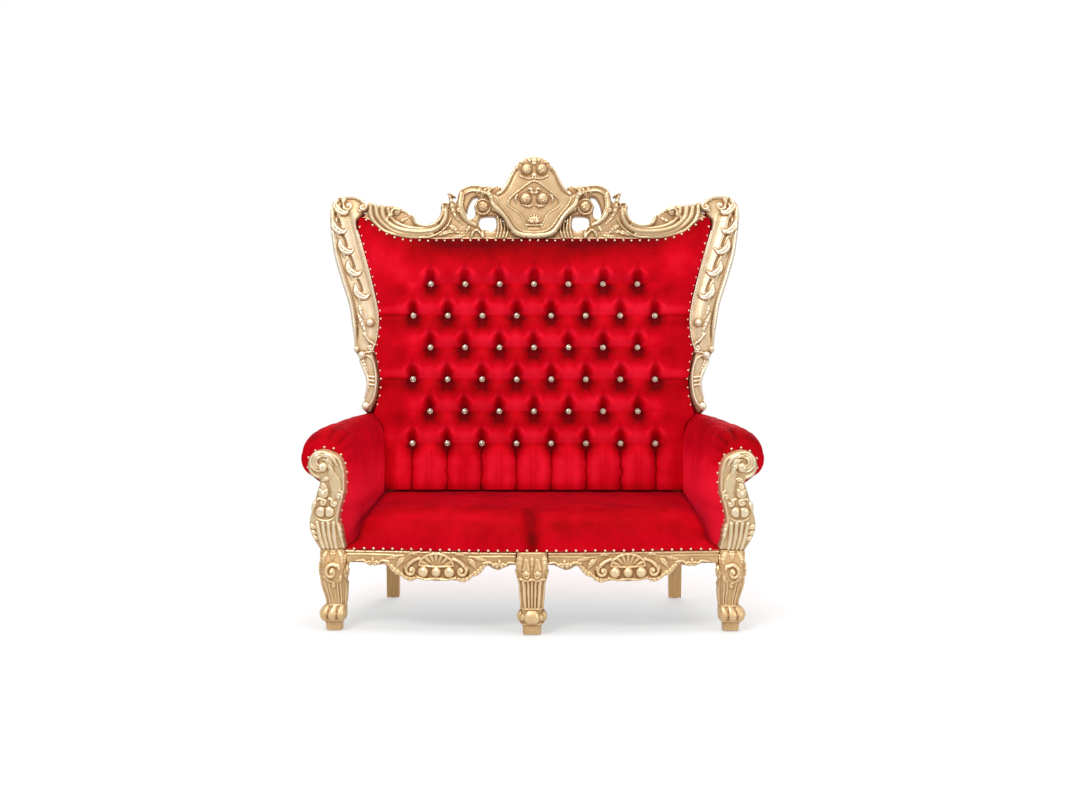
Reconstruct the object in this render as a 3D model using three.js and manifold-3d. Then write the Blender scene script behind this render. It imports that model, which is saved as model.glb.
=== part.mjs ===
// A baroque two-seat throne settee: carved gilt frame, tufted velvet back, rolled arms.
// Millimetres, +Z up, the sitter faces -Y. The settee is symmetric about the plane x = 0.
// Points written [x, height] lie in a plane seen from the front; heights are above the floor.

import * as THREE from 'three';
import { mergeVertices } from 'three/addons/utils/BufferGeometryUtils.js';
import Module from 'manifold-3d';

const wasm = await Module();
wasm.setup();

// ---- Driving dimensions ---------------------------------------------------------------

const GAP = 0.3; // clearance between pieces that touch

const GLIDE = { radius: 17, height: 3 };
const FOOT_BOTTOM = GLIDE.height + GAP;

const RAIL = { bottom: 254, top: 304, front: 32, side: 30, back: 30 };
const FRONT_BOW = 48; // how far the front rail bows forward at the middle
const RAIL_END_Y = 4; // depth of the front rail's face where it meets the corner legs
const LEG = { x: 731, innerFace: 684, frontFace: 10, backFace: 84 };
const CENTRE_LEG = { halfWidth: 56, frontFace: -62, backFace: 20 };
const REAR_POST = { x: 578, topX: 690, topHeight: 1480, legSize: 55, uprightSize: 44 };

const RECLINE = THREE.MathUtils.degToRad(7.5);
const PIVOT = { depth: 612, height: 350 }; // where the back starts to lean

// Depths inside the reclined back, measured square to it, positive to the rear.
const CUSHION = { bottom: 455, crown: -75, edge: -44, rear: -6 };
const CARVED = { front: -34, rear: 6 };
const BACK_PANEL = { front: 0, rear: 6 };
const UPRIGHT_FRONT = 6.4;
const OUTER_COVER = { front: 6.6, panel: 51.5, rear: 53.5, wall: 3 };

const BACK_RAIL_FRONT = 588;
const SEAT = { frontHalf: 652, rearHalf: 590, rear: 596, crown: 140, edge: 9 };
const CLOTH = 2; // thickness of velvet, webbing and lining
const ARM = { front: 60, padRear: 5, frameRear: 48, frameThickness: 22, coverThickness: 3 };
const ARM_FULLNESS = { rise: 26, inwards: 12 }; // swell of the padding between the arm's ends

const BUTTON = { radius: 11, height: 7, seat: -27, stem: 1.6 };
const BORE = { halfWidth: 3.2, pitHalfWidth: 12.5 }; // twine bore, and the pit that a button sits in
const TUFTS = { pitch: 141, rowSpacing: 129.5, topRow: 1281, buttonsPerRow: [7, 8, 7, 8, 7, 8] };

// ---- Materials ------------------------------------------------------------------------

const material = (color, roughness, metalness = 0) =>
  new THREE.MeshStandardMaterial({ color, roughness, metalness });

const gilt = material(0xe0c193, 0.38, 0.55);
const paintedTimber = material(0xae8755, 0.5, 0.3);
const rawTimber = material(0xb08a5a, 0.8);
const velvet = material(0xc40a1e, 0.75);
const foam = material(0xe9dfb4, 0.95);
const jute = material(0x9c7b4c, 0.95);
const lining = material(0x26221f, 0.95);
const crystal = material(0xf3ead6, 0.1, 0.2);
const felt = material(0x4a4038, 0.95);

// ---- Shape helpers --------------------------------------------------------------------

const { lerp, clamp } = THREE.MathUtils;
const flatXY = (p) => new THREE.Vector2(p.x, p.y);
const flatXZ = (p) => new THREE.Vector2(p.x, p.z);

// A closed geometry from points and faces, turned so that the faces point outwards.
function solidOf(points, faces) {
  let sixVolumes = 0;
  for (const [a, b, c] of faces) {
    sixVolumes += points[a].dot(new THREE.Vector3().crossVectors(points[b], points[c]));
  }
  const geometry = new THREE.BufferGeometry().setFromPoints(points);
  geometry.setIndex(faces.flatMap(([a, b, c]) => (sixVolumes > 0 ? [a, b, c] : [a, c, b])));
  geometry.computeVertexNormals();
  return geometry;
}

// Triangles over a ring of points, running the way the ring does or against it.
function capFaces(ring, offset, alongRing, flat) {
  const outline = ring.map(flat);
  const ringTurn = Math.sign(THREE.ShapeUtils.area(outline));
  return THREE.ShapeUtils.triangulateShape([...outline], []).map(([a, b, c]) => {
    const turn = Math.sign(THREE.ShapeUtils.area([outline[a], outline[b], outline[c]]));
    const forward = (turn === ringTurn) === alongRing;
    return (forward ? [a, b, c] : [a, c, b]).map((i) => i + offset);
  });
}

// A solid skinned over rings that have the same number of points; `flat` is the view in
// which the two end rings are filled.
function loft(rings, flat = flatXY) {
  const count = rings[0].length;
  const faces = capFaces(rings[0], 0, false, flat);
  for (let i = 0; i + 1 < rings.length; i++) {
    for (let j = 0; j < count; j++) {
      const a = i * count + j;
      const b = i * count + ((j + 1) % count);
      faces.push([a, b, b + count], [a, b + count, a + count]);
    }
  }
  faces.push(...capFaces(rings.at(-1), (rings.length - 1) * count, true, flat));
  return solidOf(rings.flat(), faces);
}

// A board cut to an outline of [x, height] points, between two depths.
function board(outline, front, rear, holes = []) {
  const shape = new THREE.Shape(outline.map(([x, z]) => new THREE.Vector2(x, z)));
  shape.holes = holes;
  const geometry = new THREE.ExtrudeGeometry(shape, {
    depth: rear - front,
    bevelEnabled: false,
    curveSegments: 8,
  });
  geometry.rotateX(Math.PI / 2);
  geometry.translate(0, rear, 0);
  return geometry;
}

// A horizontal sheet or block cut to a plan outline of [x, y] points, between two heights.
function slab(plan, bottom, top) {
  const ring = (z) => plan.map(([x, y]) => new THREE.Vector3(x, y, z));
  return loft([ring(bottom), ring(top)]);
}

// A block with its lowest and highest corners.
function block(low, high) {
  const plan = [[low[0], low[1]], [high[0], low[1]], [high[0], high[1]], [low[0], high[1]]];
  return slab(plan, low[2], high[2]);
}

// A solid between two height fields over the same grid: point(u, v) gives a plan position and
// the heights of the lower and upper surface, for u and v from 0 to 1.
function gridSolid(columns, rows, point) {
  const lower = [];
  const upper = [];
  for (let j = 0; j <= rows; j++) {
    for (let i = 0; i <= columns; i++) {
      const { low, high } = point(i / columns, j / rows);
      lower.push(low);
      upper.push(high);
    }
  }
  const at = (i, j) => j * (columns + 1) + i;
  const faces = [];
  for (let j = 0; j < rows; j++) {
    for (let i = 0; i < columns; i++) {
      const [a, b, c, d] = [at(i, j), at(i + 1, j), at(i + 1, j + 1), at(i, j + 1)];
      faces.push([a, c, b], [a, d, c]);
      faces.push([a, b, c].map((k) => k + lower.length), [a, c, d].map((k) => k + lower.length));
    }
  }
  const rim = [];
  for (let i = 0; i < columns; i++) rim.push(at(i, 0));
  for (let j = 0; j < rows; j++) rim.push(at(columns, j));
  for (let i = columns; i > 0; i--) rim.push(at(i, rows));
  for (let j = rows; j > 0; j--) rim.push(at(0, j));
  rim.forEach((a, k) => {
    const b = rim[(k + 1) % rim.length];
    faces.push([a, b, b + lower.length], [a, b + lower.length, a + lower.length]);
  });
  return solidOf([...lower, ...upper], faces);
}

// A level ring for a loft: a superellipse from round (power 2) towards square (power 6).
function ovalRing(x, y, z, halfWidth, halfDepth, power = 4, sides = 12) {
  return Array.from({ length: sides }, (_, k) => {
    const angle = ((k + 0.5) / sides) * 2 * Math.PI;
    const [c, s] = [Math.cos(angle), Math.sin(angle)];
    const reach = (Math.abs(c) ** power + Math.abs(s) ** power) ** (-1 / power);
    return new THREE.Vector3(x + halfWidth * reach * c, y + halfDepth * reach * s, z);
  });
}

// Reads a value from a table of [height, value] pairs, in order of falling height.
function atHeight(table, z) {
  const firstBelow = table.findIndex(([height]) => height <= z);
  const k = firstBelow < 0 ? table.length - 1 : Math.max(firstBelow, 1);
  const [[zAbove, above], [zBelow, below]] = table.slice(k - 1, k + 1);
  return lerp(below, above, clamp((z - zBelow) / (zAbove - zBelow), 0, 1));
}

// Smooths a list of [x, height] points into an outline with `steps` pieces.
function smooth(points, steps) {
  const curve = new THREE.SplineCurve(points.map(([x, z]) => new THREE.Vector2(x, z)));
  return curve.getPoints(steps).map((p) => [p.x, p.y]);
}

const mirrored = (outline, side) => outline.map(([x, z]) => [side * x, z]);

function toManifold(geometry) {
  const bare = geometry.clone();
  bare.deleteAttribute('normal');
  bare.deleteAttribute('uv');
  const merged = mergeVertices(bare, 1e-4);
  const vertProperties = new Float32Array(merged.attributes.position.array);
  const triVerts = new Uint32Array(merged.index.array);
  return new wasm.Manifold(new wasm.Mesh({ numProp: 3, vertProperties, triVerts }));
}

function fromManifold(solid) {
  const mesh = solid.getMesh();
  const geometry = new THREE.BufferGeometry();
  geometry.setAttribute('position', new THREE.BufferAttribute(mesh.vertProperties, 3));
  geometry.setIndex(new THREE.BufferAttribute(mesh.triVerts, 1));
  geometry.computeVertexNormals();
  return geometry;
}

// ---- The frame of the reclined back ---------------------------------------------------

// Length up the reclined back for a height above the floor.
const up = (height) => (height - PIVOT.height) / Math.cos(RECLINE);

// The same outline, measured up the reclined back.
const reclined = (outline) => outline.map(([x, height]) => [x, up(height)]);

// Depth from the front of the settee, at a height, of a plane lying at `depth` in the back.
const backPlaneY = (height, depth) =>
  PIVOT.depth + depth / Math.cos(RECLINE) + (height - PIVOT.height) * Math.tan(RECLINE);

const throne = new THREE.Group();
const back = new THREE.Group();
back.position.set(0, PIVOT.depth, PIVOT.height);
back.rotation.x = -RECLINE;
throne.add(back);

function add(name, geometry, meshMaterial, parent = throne) {
  const mesh = new THREE.Mesh(geometry, meshMaterial);
  mesh.name = name;
  parent.add(mesh);
}

const SIDES = { left: -1, right: 1 };

// ---- Legs and glides ------------------------------------------------------------------

// Front corner leg, from the foot block through the lobed ball and the knee to the square
// block that the rails meet: [height, half width, half depth, offset outwards, power].
const CORNER_LEG_SECTIONS = [
  [FOOT_BOTTOM, 29, 28, 0, 5],
  [32, 30, 29, 0, 5],
  [42, 43, 40, 4, 3],
  [62, 46, 44, 5, 3],
  [84, 42, 40, 1, 3],
  [98, 34, 34, -9, 3],
  [121, 37, 36, -8, 3],
  [162, 46, 43, -3, 3],
  [199, 49, 49, 0, 3],
  [235, 47, 50, 0, 4],
  [RAIL.top, 47, 37, 0, 6],
];

const CENTRE_LEG_SECTIONS = [
  [FOOT_BOTTOM, 32, 30, 0, 5],
  [30, 33, 31, 0, 5],
  [44, 45, 42, 0, 3],
  [64, 48, 45, 0, 3],
  [84, 44, 41, 0, 3],
  [98, 39, 38, 0, 4],
  [140, 42, 39, 0, 5],
  [185, 45, 40, 0, 5],
  [215, 52, 43, 0, 5],
  [250, 56, 45, 0, 6],
  [RAIL.top, 55, 41, 0, 6],
];

function carvedLeg(sections, x, side, frontFace, backFace) {
  const middle = (frontFace + backFace) / 2;
  const topDepth = (backFace - frontFace) / 2;
  return loft(
    sections.map(([z, halfWidth, halfDepth, outwards, power]) => {
      const forward = Math.max(0, halfDepth - topDepth);
      return ovalRing(x + side * outwards, middle - forward, z, halfWidth, halfDepth, power);
    }),
  );
}

// Rear leg and back upright in one length: vertical to the pivot, then leaning with the back.
const uprightX = (height) =>
  lerp(REAR_POST.x, REAR_POST.topX, (height - PIVOT.height) / (REAR_POST.topHeight - PIVOT.height));

function rearPost(side) {
  const { x, legSize, uprightSize, topHeight } = REAR_POST;
  const legHalf = legSize / 2;
  const legMiddle = backPlaneY(PIVOT.height, UPRIGHT_FRONT) + legHalf;
  const cut = (height, half, frontY, rearY, middleX) => [
    new THREE.Vector3(side * (middleX - half), frontY, height),
    new THREE.Vector3(side * (middleX + half), frontY, height),
    new THREE.Vector3(side * (middleX + half), rearY, height),
    new THREE.Vector3(side * (middleX - half), rearY, height),
  ];
  const leaning = (height) => {
    const frontY = backPlaneY(height, UPRIGHT_FRONT);
    return cut(height, uprightSize / 2, frontY, frontY + uprightSize, uprightX(height));
  };
  return loft([
    cut(FOOT_BOTTOM, legHalf * 0.9, legMiddle - legHalf * 0.9, legMiddle + legHalf * 0.9, x),
    cut(RAIL.top, legHalf, legMiddle - legHalf, legMiddle + legHalf, x),
    leaning(PIVOT.height + 10),
    leaning(topHeight),
  ]);
}

const cornerLegY = (LEG.frontFace + LEG.backFace) / 2;
const centreLegY = (CENTRE_LEG.frontFace + CENTRE_LEG.backFace) / 2;
const rearLegY = backPlaneY(PIVOT.height, UPRIGHT_FRONT) + REAR_POST.legSize / 2;

function glide(x, y) {
  const { radius, height } = GLIDE;
  const profile = [[0, 0], [radius - 1, 0], [radius, 1], [radius, height], [0, height]];
  const geometry = new THREE.LatheGeometry(profile.map(([r, z]) => new THREE.Vector2(r, z)), 12);
  geometry.rotateX(Math.PI / 2);
  geometry.translate(x, y, 0);
  return geometry;
}

for (const [name, side] of Object.entries(SIDES)) {
  const leg = carvedLeg(CORNER_LEG_SECTIONS, side * LEG.x, side, LEG.frontFace, LEG.backFace);
  add(`front_leg_${name}`, leg, gilt);
  add(`rear_post_${name}`, rearPost(side), paintedTimber);
  add(`glide_front_${name}`, glide(side * LEG.x, cornerLegY), felt);
  add(`glide_rear_${name}`, glide(side * REAR_POST.x, rearLegY), felt);
}
add(
  'front_leg_centre',
  carvedLeg(CENTRE_LEG_SECTIONS, 0, 1, CENTRE_LEG.frontFace, CENTRE_LEG.backFace),
  gilt,
);
add('glide_front_centre', glide(0, centreLegY), felt);

// ---- Seat frame -----------------------------------------------------------------------

// Front face of the bowed front rail.
function frontRailY(x) {
  const reach = clamp(x / LEG.innerFace, -1, 1);
  return RAIL_END_Y - (FRONT_BOW + RAIL_END_Y) * Math.cos((reach * Math.PI) / 2) ** 1.5;
}

// The carved apron hangs below the rail as a broad shell and two small leaf curls.
const APRON = [
  { x: 355, halfWidth: 150, drop: 58 },
  { x: 580, halfWidth: 70, drop: 10 },
  { x: 150, halfWidth: 70, drop: 12 },
];

function apronBottom(x) {
  const drops = APRON.map((shell) => {
    const reach = clamp((x - shell.x) / shell.halfWidth, -1, 1);
    return shell.drop * Math.cos((reach * Math.PI) / 2) ** 0.8;
  });
  return RAIL.bottom - Math.max(...drops);
}

function frontRail(side) {
  const inner = CENTRE_LEG.halfWidth + GAP;
  const outer = LEG.innerFace - GAP;
  const stations = 26;
  const rings = [];
  for (let k = 0; k <= stations; k++) {
    const x = lerp(inner, outer, k / stations);
    const y = frontRailY(x);
    rings.push([
      new THREE.Vector3(side * x, y, apronBottom(x)),
      new THREE.Vector3(side * x, y, RAIL.top),
      new THREE.Vector3(side * x, y + RAIL.front, RAIL.top),
      new THREE.Vector3(side * x, y + RAIL.front, apronBottom(x)),
    ]);
  }
  return loft(rings, (p) => new THREE.Vector2(p.y, p.z));
}

// Inner face of the side rail, which runs inwards to the rear with the arm.
const sideRailX = (y) => lerp(745, 655, (y - LEG.backFace) / (BACK_RAIL_FRONT - LEG.backFace));

function sideRail(side) {
  const [front, rear] = [LEG.backFace + GAP, BACK_RAIL_FRONT - GAP];
  const plan = [
    [side * sideRailX(front), front],
    [side * (sideRailX(front) + RAIL.side), front],
    [side * (sideRailX(rear) + RAIL.side), rear],
    [side * sideRailX(rear), rear],
  ];
  return slab(plan, RAIL.bottom, RAIL.top);
}

// Diagonal braces across the corners of the seat frame.
const FRONT_BRACE = [[565, 38], [618, 38], [732, 142], [724, 185]];
const REAR_BRACE = [[540, 587], [600, 587], [664, 525], [671, 480]];
const BRACE = { bottom: 258, top: 300 };

for (const [name, side] of Object.entries(SIDES)) {
  add(`seat_rail_front_${name}`, frontRail(side), gilt);
  add(`seat_rail_side_${name}`, sideRail(side), paintedTimber);
  add(`corner_brace_front_${name}`, slab(mirrored(FRONT_BRACE, side), BRACE.bottom, BRACE.top), rawTimber);
  add(`corner_brace_rear_${name}`, slab(mirrored(REAR_BRACE, side), BRACE.bottom, BRACE.top), rawTimber);
}

const backRailHalf = sideRailX(BACK_RAIL_FRONT) + RAIL.side;
add(
  'seat_rail_back',
  block(
    [-backRailHalf, BACK_RAIL_FRONT, RAIL.bottom],
    [backRailHalf, BACK_RAIL_FRONT + RAIL.back, RAIL.top],
  ),
  paintedTimber,
);
add(
  'seat_stretcher',
  block([-22, CENTRE_LEG.backFace + GAP, RAIL.bottom], [22, BACK_RAIL_FRONT - GAP, RAIL.top]),
  rawTimber,
);

// Webbing straps tacked over the front and back rails.
const STRAP = { width: 50, positions: [-450, -270, -90, 90, 270, 450] };
STRAP.positions.forEach((x, k) => {
  const front = frontRailY(Math.abs(x) - STRAP.width / 2) + 10;
  const low = [x - STRAP.width / 2, front, RAIL.top + GAP];
  const high = [x + STRAP.width / 2, BACK_RAIL_FRONT + RAIL.back - 6, RAIL.top + GAP + CLOTH];
  add(`seat_webbing_${k + 1}`, block(low, high), jute);
});

// The lining under the seat runs behind the front rail and round the legs.
const behindFrontRail = [60, 200, 340, 480, 600, 673].map((x) => [x, frontRailY(x) + RAIL.front + 5]);
const liningHalf = [[60, CENTRE_LEG.backFace + 3], ...behindFrontRail, [673, 90], [740, 90], [650, 610]];
const liningPlan = [...liningHalf, ...mirrored(liningHalf, -1).reverse()];
add('dust_cover', slab(liningPlan, RAIL.bottom - GAP - CLOTH, RAIL.bottom - GAP), lining);

// ---- Seat cushion ---------------------------------------------------------------------

const seatBottom = RAIL.top + 2 * GAP + CLOTH;

// Plan position and crown height of the seat, u across from -1 to 1 and v from front to rear.
function seatPoint(u, v) {
  const x = u * lerp(SEAT.frontHalf, SEAT.rearHalf, v ** 1.3);
  const roundedCorner = 10 * Math.max(0, Math.abs(u) - 0.85) ** 2 / 0.15 ** 2;
  const y = lerp(frontRailY(x) + 2, SEAT.rear - roundedCorner, v);
  const frontRoll = Math.sqrt(1 - (1 - Math.min(1, v / 0.3)) ** 2);
  const sideRoll = 1 - 0.45 * Math.abs(u) ** 6 * (1 - v);
  const height = SEAT.edge + SEAT.crown * frontRoll * sideRoll * (1 - 0.06 * v);
  return { x, y, height };
}

add(
  'seat_foam',
  gridSolid(20, 9, (s, v) => {
    const { x, y, height } = seatPoint(2 * s - 1, v);
    return { low: new THREE.Vector3(x, y, seatBottom), high: new THREE.Vector3(x, y, seatBottom + height) };
  }),
  foam,
);
add(
  'seat_cover',
  gridSolid(20, 9, (s, v) => {
    const { x, y, height } = seatPoint(2 * s - 1, v);
    const top = seatBottom + height + GAP;
    return { low: new THREE.Vector3(x, y, top), high: new THREE.Vector3(x, y, top + CLOTH) };
  }),
  velvet,
);

// ---- Arms -----------------------------------------------------------------------------

// Carved arm facing: the scroll volute above, the waist, and the foot on the front leg.
const FACING = [
  ...smooth([[680, 304.6], [690, 332], [703, 376], [707, 421], [698, 467], [684, 513], [683, 568]], 10),
  ...smooth([[686, 602], [705, 646], [765, 670], [806, 654], [823, 614], [809, 576], [780, 562]], 14),
  ...smooth([[777, 548], [789, 513], [799, 476], [815, 421], [818, 385], [807, 348], [780, 304.6]], 8),
];

// Cross-section of the arm pad at the front and at the rear of the arm: up the inner face,
// over the roll, and back under it to the frame board.
const PAD_FRONT = [
  [700, 307], [708, 393], [702, 450], [689, 520], [687, 590], [696, 645], [720, 685], [756, 702],
  [795, 700], [828, 680], [847, 645], [845, 605], [826, 578], [797, 571], [746, 571], [744, 307],
];
const PAD_REAR = [
  [602, 307], [603, 380], [602, 450], [600, 530], [600, 600], [603, 670], [617, 722], [648, 748],
  [686, 748], [717, 730], [738, 700], [740, 662], [724, 635], [700, 626], [652, 626], [650, 307],
];

// A loft along the arm between a front and a rear section that lies in the reclined back.
// Fullness swells the middle of the arm: the roll upwards, the inner face inwards.
function alongArm(frontSection, rearSection, side, rearDepth, stations, fullness = { rise: 0, inwards: 0 }) {
  const rings = [];
  for (let k = 0; k <= stations; k++) {
    const t = k / stations;
    const swell = Math.sin(Math.PI * t) ** 0.7;
    rings.push(
      frontSection.map(([xFront, zFront], i) => {
        const [xRear, zRear] = rearSection[i];
        const onRoll = clamp((zFront - 560) / 80, 0, 1);
        const onInnerFace = xFront < 715 ? 1 - onRoll : 0;
        const x = lerp(xFront, xRear, t) - fullness.inwards * swell * onInnerFace;
        const y = lerp(ARM.front + GAP, backPlaneY(zRear, rearDepth), t);
        return new THREE.Vector3(side * x, y, lerp(zFront, zRear, t) + fullness.rise * swell * onRoll);
      }),
    );
  }
  return loft(rings, flatXZ);
}

// A flat upright board along the arm, from the side rail up to the roll: the inner face's x at
// the front and at the top of the rear, where the board's end lies in the reclined back.
const ARM_BOARD = { bottom: RAIL.top + 1, frontTop: 569, rearTop: 623 };

function armBoard(side, xFront, xRear, thickness) {
  const { bottom, frontTop, rearTop } = ARM_BOARD;
  const start = ARM.front + GAP;
  const end = backPlaneY(rearTop, ARM.frameRear);
  const rearX = (height) => lerp(xFront, xRear, (backPlaneY(height, ARM.frameRear) - start) / (end - start));
  const strip = (xBottom, xTop, top) =>
    [[xBottom, bottom], [xBottom + thickness, bottom], [xTop + thickness, top], [xTop, top]];
  const front = strip(xFront, xFront, frontTop);
  const rear = strip(rearX(bottom), xRear, rearTop);
  return alongArm(front, rear, side, ARM.frameRear, 1);
}

for (const [name, side] of Object.entries(SIDES)) {
  add(`arm_facing_${name}`, board(mirrored(FACING, side), 0, ARM.front), gilt);
  add(`arm_pad_${name}`, alongArm(PAD_FRONT, PAD_REAR, side, ARM.padRear, 6, ARM_FULLNESS), velvet);
  add(`arm_frame_${name}`, armBoard(side, 748, 657, ARM.frameThickness), rawTimber);
  add(`arm_outer_cover_${name}`, armBoard(side, 779, 699, ARM.coverThickness), velvet);
}

// ---- Frame of the back ----------------------------------------------------------------

function backRail(bottom, top) {
  const half = uprightX(bottom) - REAR_POST.uprightSize / 2 - 1;
  return block([-half, UPRIGHT_FRONT + 2, up(bottom)], [half, UPRIGHT_FRONT + 30, up(top)]);
}

add('back_rail_bottom', backRail(400, 445), rawTimber, back);
add('back_rail_middle', backRail(930, 975), rawTimber, back);
add('back_rail_top', backRail(1400, 1445), rawTimber, back);

// ---- Tufted back cushion --------------------------------------------------------------

// Half width of the upholstery inside the carved border, [height, half width].
const UPHOLSTERY = [
  [1551, 718], [1525, 724], [1500, 720], [1440, 704], [1380, 688], [1310, 667], [1250, 651], [1190, 639],
  [1130, 632], [1060, 638], [1007, 652], [960, 639], [890, 627], [820, 634], [762, 652],
  [750, 596], [CUSHION.bottom, 596],
];
const halfWidthAt = (z) => atHeight(UPHOLSTERY, z) - 1;

// Height of the top edge of the upholstery, which sweeps up to the corners.
const topEdge = (x) => 1463 + 88 * clamp((Math.abs(x) - 490) / 200, 0, 1) ** 2.2;
const SWEEP_XS = [490, 530, 565, 595, 620, 640, 660, 675, 690];

const buttonHeights = TUFTS.buttonsPerRow.map((_, row) => TUFTS.topRow - row * TUFTS.rowSpacing);
const buttonXs = (count) => Array.from({ length: count }, (_, k) => (k - (count - 1) / 2) * TUFTS.pitch);
const buttons = TUFTS.buttonsPerRow.flatMap((count, row) =>
  buttonXs(count).map((x) => ({ x, height: buttonHeights[row] })),
);

const STEP = { x: TUFTS.pitch / 2, height: TUFTS.rowSpacing / 2 };
const FIXED_COLUMNS = 7; // columns either side of the middle that line up with the buttons
const SIDE_COLUMNS = 4;
const ROWS_BELOW = 3; // grid rows under the lowest buttons
const ROWS_ABOVE = 3; // grid rows over the highest buttons

function cushionGrid() {
  const columns = 2 * (FIXED_COLUMNS + SIDE_COLUMNS);
  const spans = 2 * (buttonHeights.length - 1);
  const rows = ROWS_BELOW + spans + ROWS_ABOVE;
  const place = (s, v) => {
    const i = Math.round(s * columns) - columns / 2;
    const j = Math.round(v * rows);
    const lowest = buttonHeights.at(-1);
    const above = clamp((j - ROWS_BELOW - spans) / ROWS_ABOVE, 0, 1);
    const below = clamp(1 - j / ROWS_BELOW, 0, 1);
    const fixed = clamp(j - ROWS_BELOW, 0, spans) * STEP.height + lowest;
    const heightAt = (x) => lerp(fixed, topEdge(x), above) - (lowest - CUSHION.bottom) * below;
    const fixedX = clamp(Math.abs(i), 0, FIXED_COLUMNS) * STEP.x;
    const outwards = clamp((Math.abs(i) - FIXED_COLUMNS) / SIDE_COLUMNS, 0, 1);
    const edge = halfWidthAt(heightAt(720));
    const x = lerp(fixedX, edge, outwards);
    return { x: Math.sign(i) * x, height: heightAt(x), edge };
  };
  return { columns, rows, place };
}

// Depth of the cushion's front surface: full in the middle, drawn in at each button.
function cushionFront(x, height, edge) {
  const sideFall = 1 - Math.abs(x / edge) ** 4;
  const topFall = 1 - clamp((height - 1300) / 200, 0, 1) ** 2;
  const plain = lerp(CUSHION.edge, CUSHION.crown, sideFall * topFall);
  const pulled = buttons.some((b) => Math.hypot(b.x - x, b.height - height) < 1);
  return pulled ? BUTTON.seat - 1 : plain;
}

function backCushion() {
  const { columns, rows, place } = cushionGrid();
  const plain = gridSolid(columns, rows, (s, v) => {
    const { x, height, edge } = place(s, v);
    const front = new THREE.Vector3(x, cushionFront(x, height, edge), up(height));
    return { low: new THREE.Vector3(x, CUSHION.rear, up(height)), high: front };
  });
  const hole = (x, z, half, rear) =>
    toManifold(block([x - half, CUSHION.crown - 10, z - half], [x + half, rear, z + half]));
  return fromManifold(
    buttons.reduce((solid, { x, height }) => {
      const pit = hole(x, up(height), BORE.pitHalfWidth, BUTTON.seat);
      const bore = hole(x, up(height), BORE.halfWidth, 0);
      return solid.subtract(pit.add(bore));
    }, toManifold(plain)),
  );
}

add('back_cushion', backCushion(), velvet, back);

// One row of buttons, joined behind the cushion by the tufting twine that their stems tie to.
function buttonRow(row) {
  const height = up(buttonHeights[row]);
  const xs = buttonXs(TUFTS.buttonsPerRow[row]);
  const face = BUTTON.seat - 1;
  const twineDepth = [CUSHION.rear + 1, CUSHION.rear + 4];
  const ring = (x, depth, radius) =>
    Array.from({ length: 6 }, (_, k) => {
      const angle = (k / 6) * 2 * Math.PI;
      return new THREE.Vector3(x + radius * Math.cos(angle), depth, height + radius * Math.sin(angle));
    });
  const headAndStem = (x) =>
    loft(
      [
        ring(x, face - BUTTON.height, BUTTON.radius * 0.5),
        ring(x, face - BUTTON.height * 0.5, BUTTON.radius),
        ring(x, face, BUTTON.radius * 0.9),
        ring(x, face, BUTTON.stem),
        ring(x, twineDepth[1] - 0.5, BUTTON.stem),
      ],
      flatXZ,
    );
  const twine = block(
    [xs[0] - 3, twineDepth[0], height - BUTTON.stem],
    [xs.at(-1) + 3, twineDepth[1], height + BUTTON.stem],
  );
  return fromManifold(xs.reduce((solid, x) => solid.add(toManifold(headAndStem(x))), toManifold(twine)));
}

TUFTS.buttonsPerRow.forEach((_, row) => add(`button_row_${row + 1}`, buttonRow(row), crystal, back));

// ---- Back panel and outer cover -------------------------------------------------------

function upholsteryOutline() {
  const sideEdge = UPHOLSTERY.map(([height, half]) => [half - 1, height]);
  const right = [...SWEEP_XS.map((x) => [x, topEdge(x)]), ...sideEdge];
  return [...right, ...mirrored(right, -1).reverse()];
}
add('back_panel', board(reclined(upholsteryOutline()), BACK_PANEL.front, BACK_PANEL.rear), rawTimber, back);

// Moves an outline's points inwards by a distance; the outline runs clockwise seen from the front.
function inset(outline, distance) {
  return outline.map(([x, z], k) => {
    const [xBefore, zBefore] = outline.at(k - 1);
    const [xAfter, zAfter] = outline[(k + 1) % outline.length];
    const length = Math.hypot(xAfter - xBefore, zAfter - zBefore);
    return [x + ((zAfter - zBefore) / length) * distance, z - ((xAfter - xBefore) / length) * distance];
  });
}

// The velvet outer cover: a shallow tray, open below, whose sides return to the carved border.
const OUTER_COVER_HALF = [
  [430, 1490], [560, 1520], [690, 1580], [800, 1570], [775, 1400], [742, 1300], [708, 1170], [700, 1040],
  [675, 960], [662, 880], [670, 780], [695, 740], [695, 376],
];

function outerCover() {
  const outline = reclined([...OUTER_COVER_HALF, ...mirrored(OUTER_COVER_HALF, -1).reverse()]);
  const whole = toManifold(board(outline, OUTER_COVER.front, OUTER_COVER.rear));
  const openBelow = inset(outline, OUTER_COVER.wall).map(([x, z]) => [x, z < up(400) ? 0 : z]);
  const inside = toManifold(board(openBelow, 0, OUTER_COVER.panel));
  return fromManifold(whole.subtract(inside));
}
add('back_outer_cover', outerCover(), velvet, back);

// ---- Carved border, corners and crest -------------------------------------------------

const UPPER_BORDER = [
  ...smooth([[657, 1010], [642, 1062], [636, 1130], [643, 1190], [671, 1310], [708, 1440], [732, 1538]], 12),
  ...smooth([[832, 1538], [824, 1500], [806, 1400], [776, 1300], [742, 1200], [725, 1100], [731, 1010]], 12),
];

const LOWER_BORDER = [
  ...smooth([[668, 760], [639, 820], [631, 890], [643, 960], [657, 1004]], 10),
  ...smooth([[728, 1004], [700, 938], [676, 880], [690, 815], [708, 790], [700, 762]], 10),
];

const CORNER_VOLUTE = [
  [726, 1550], [732, 1539], [832, 1539], [842, 1575], [838, 1612], [815, 1636], [775, 1648], [735, 1645],
  [700, 1630], [684, 1606], [692, 1575], [714, 1560],
];

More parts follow.
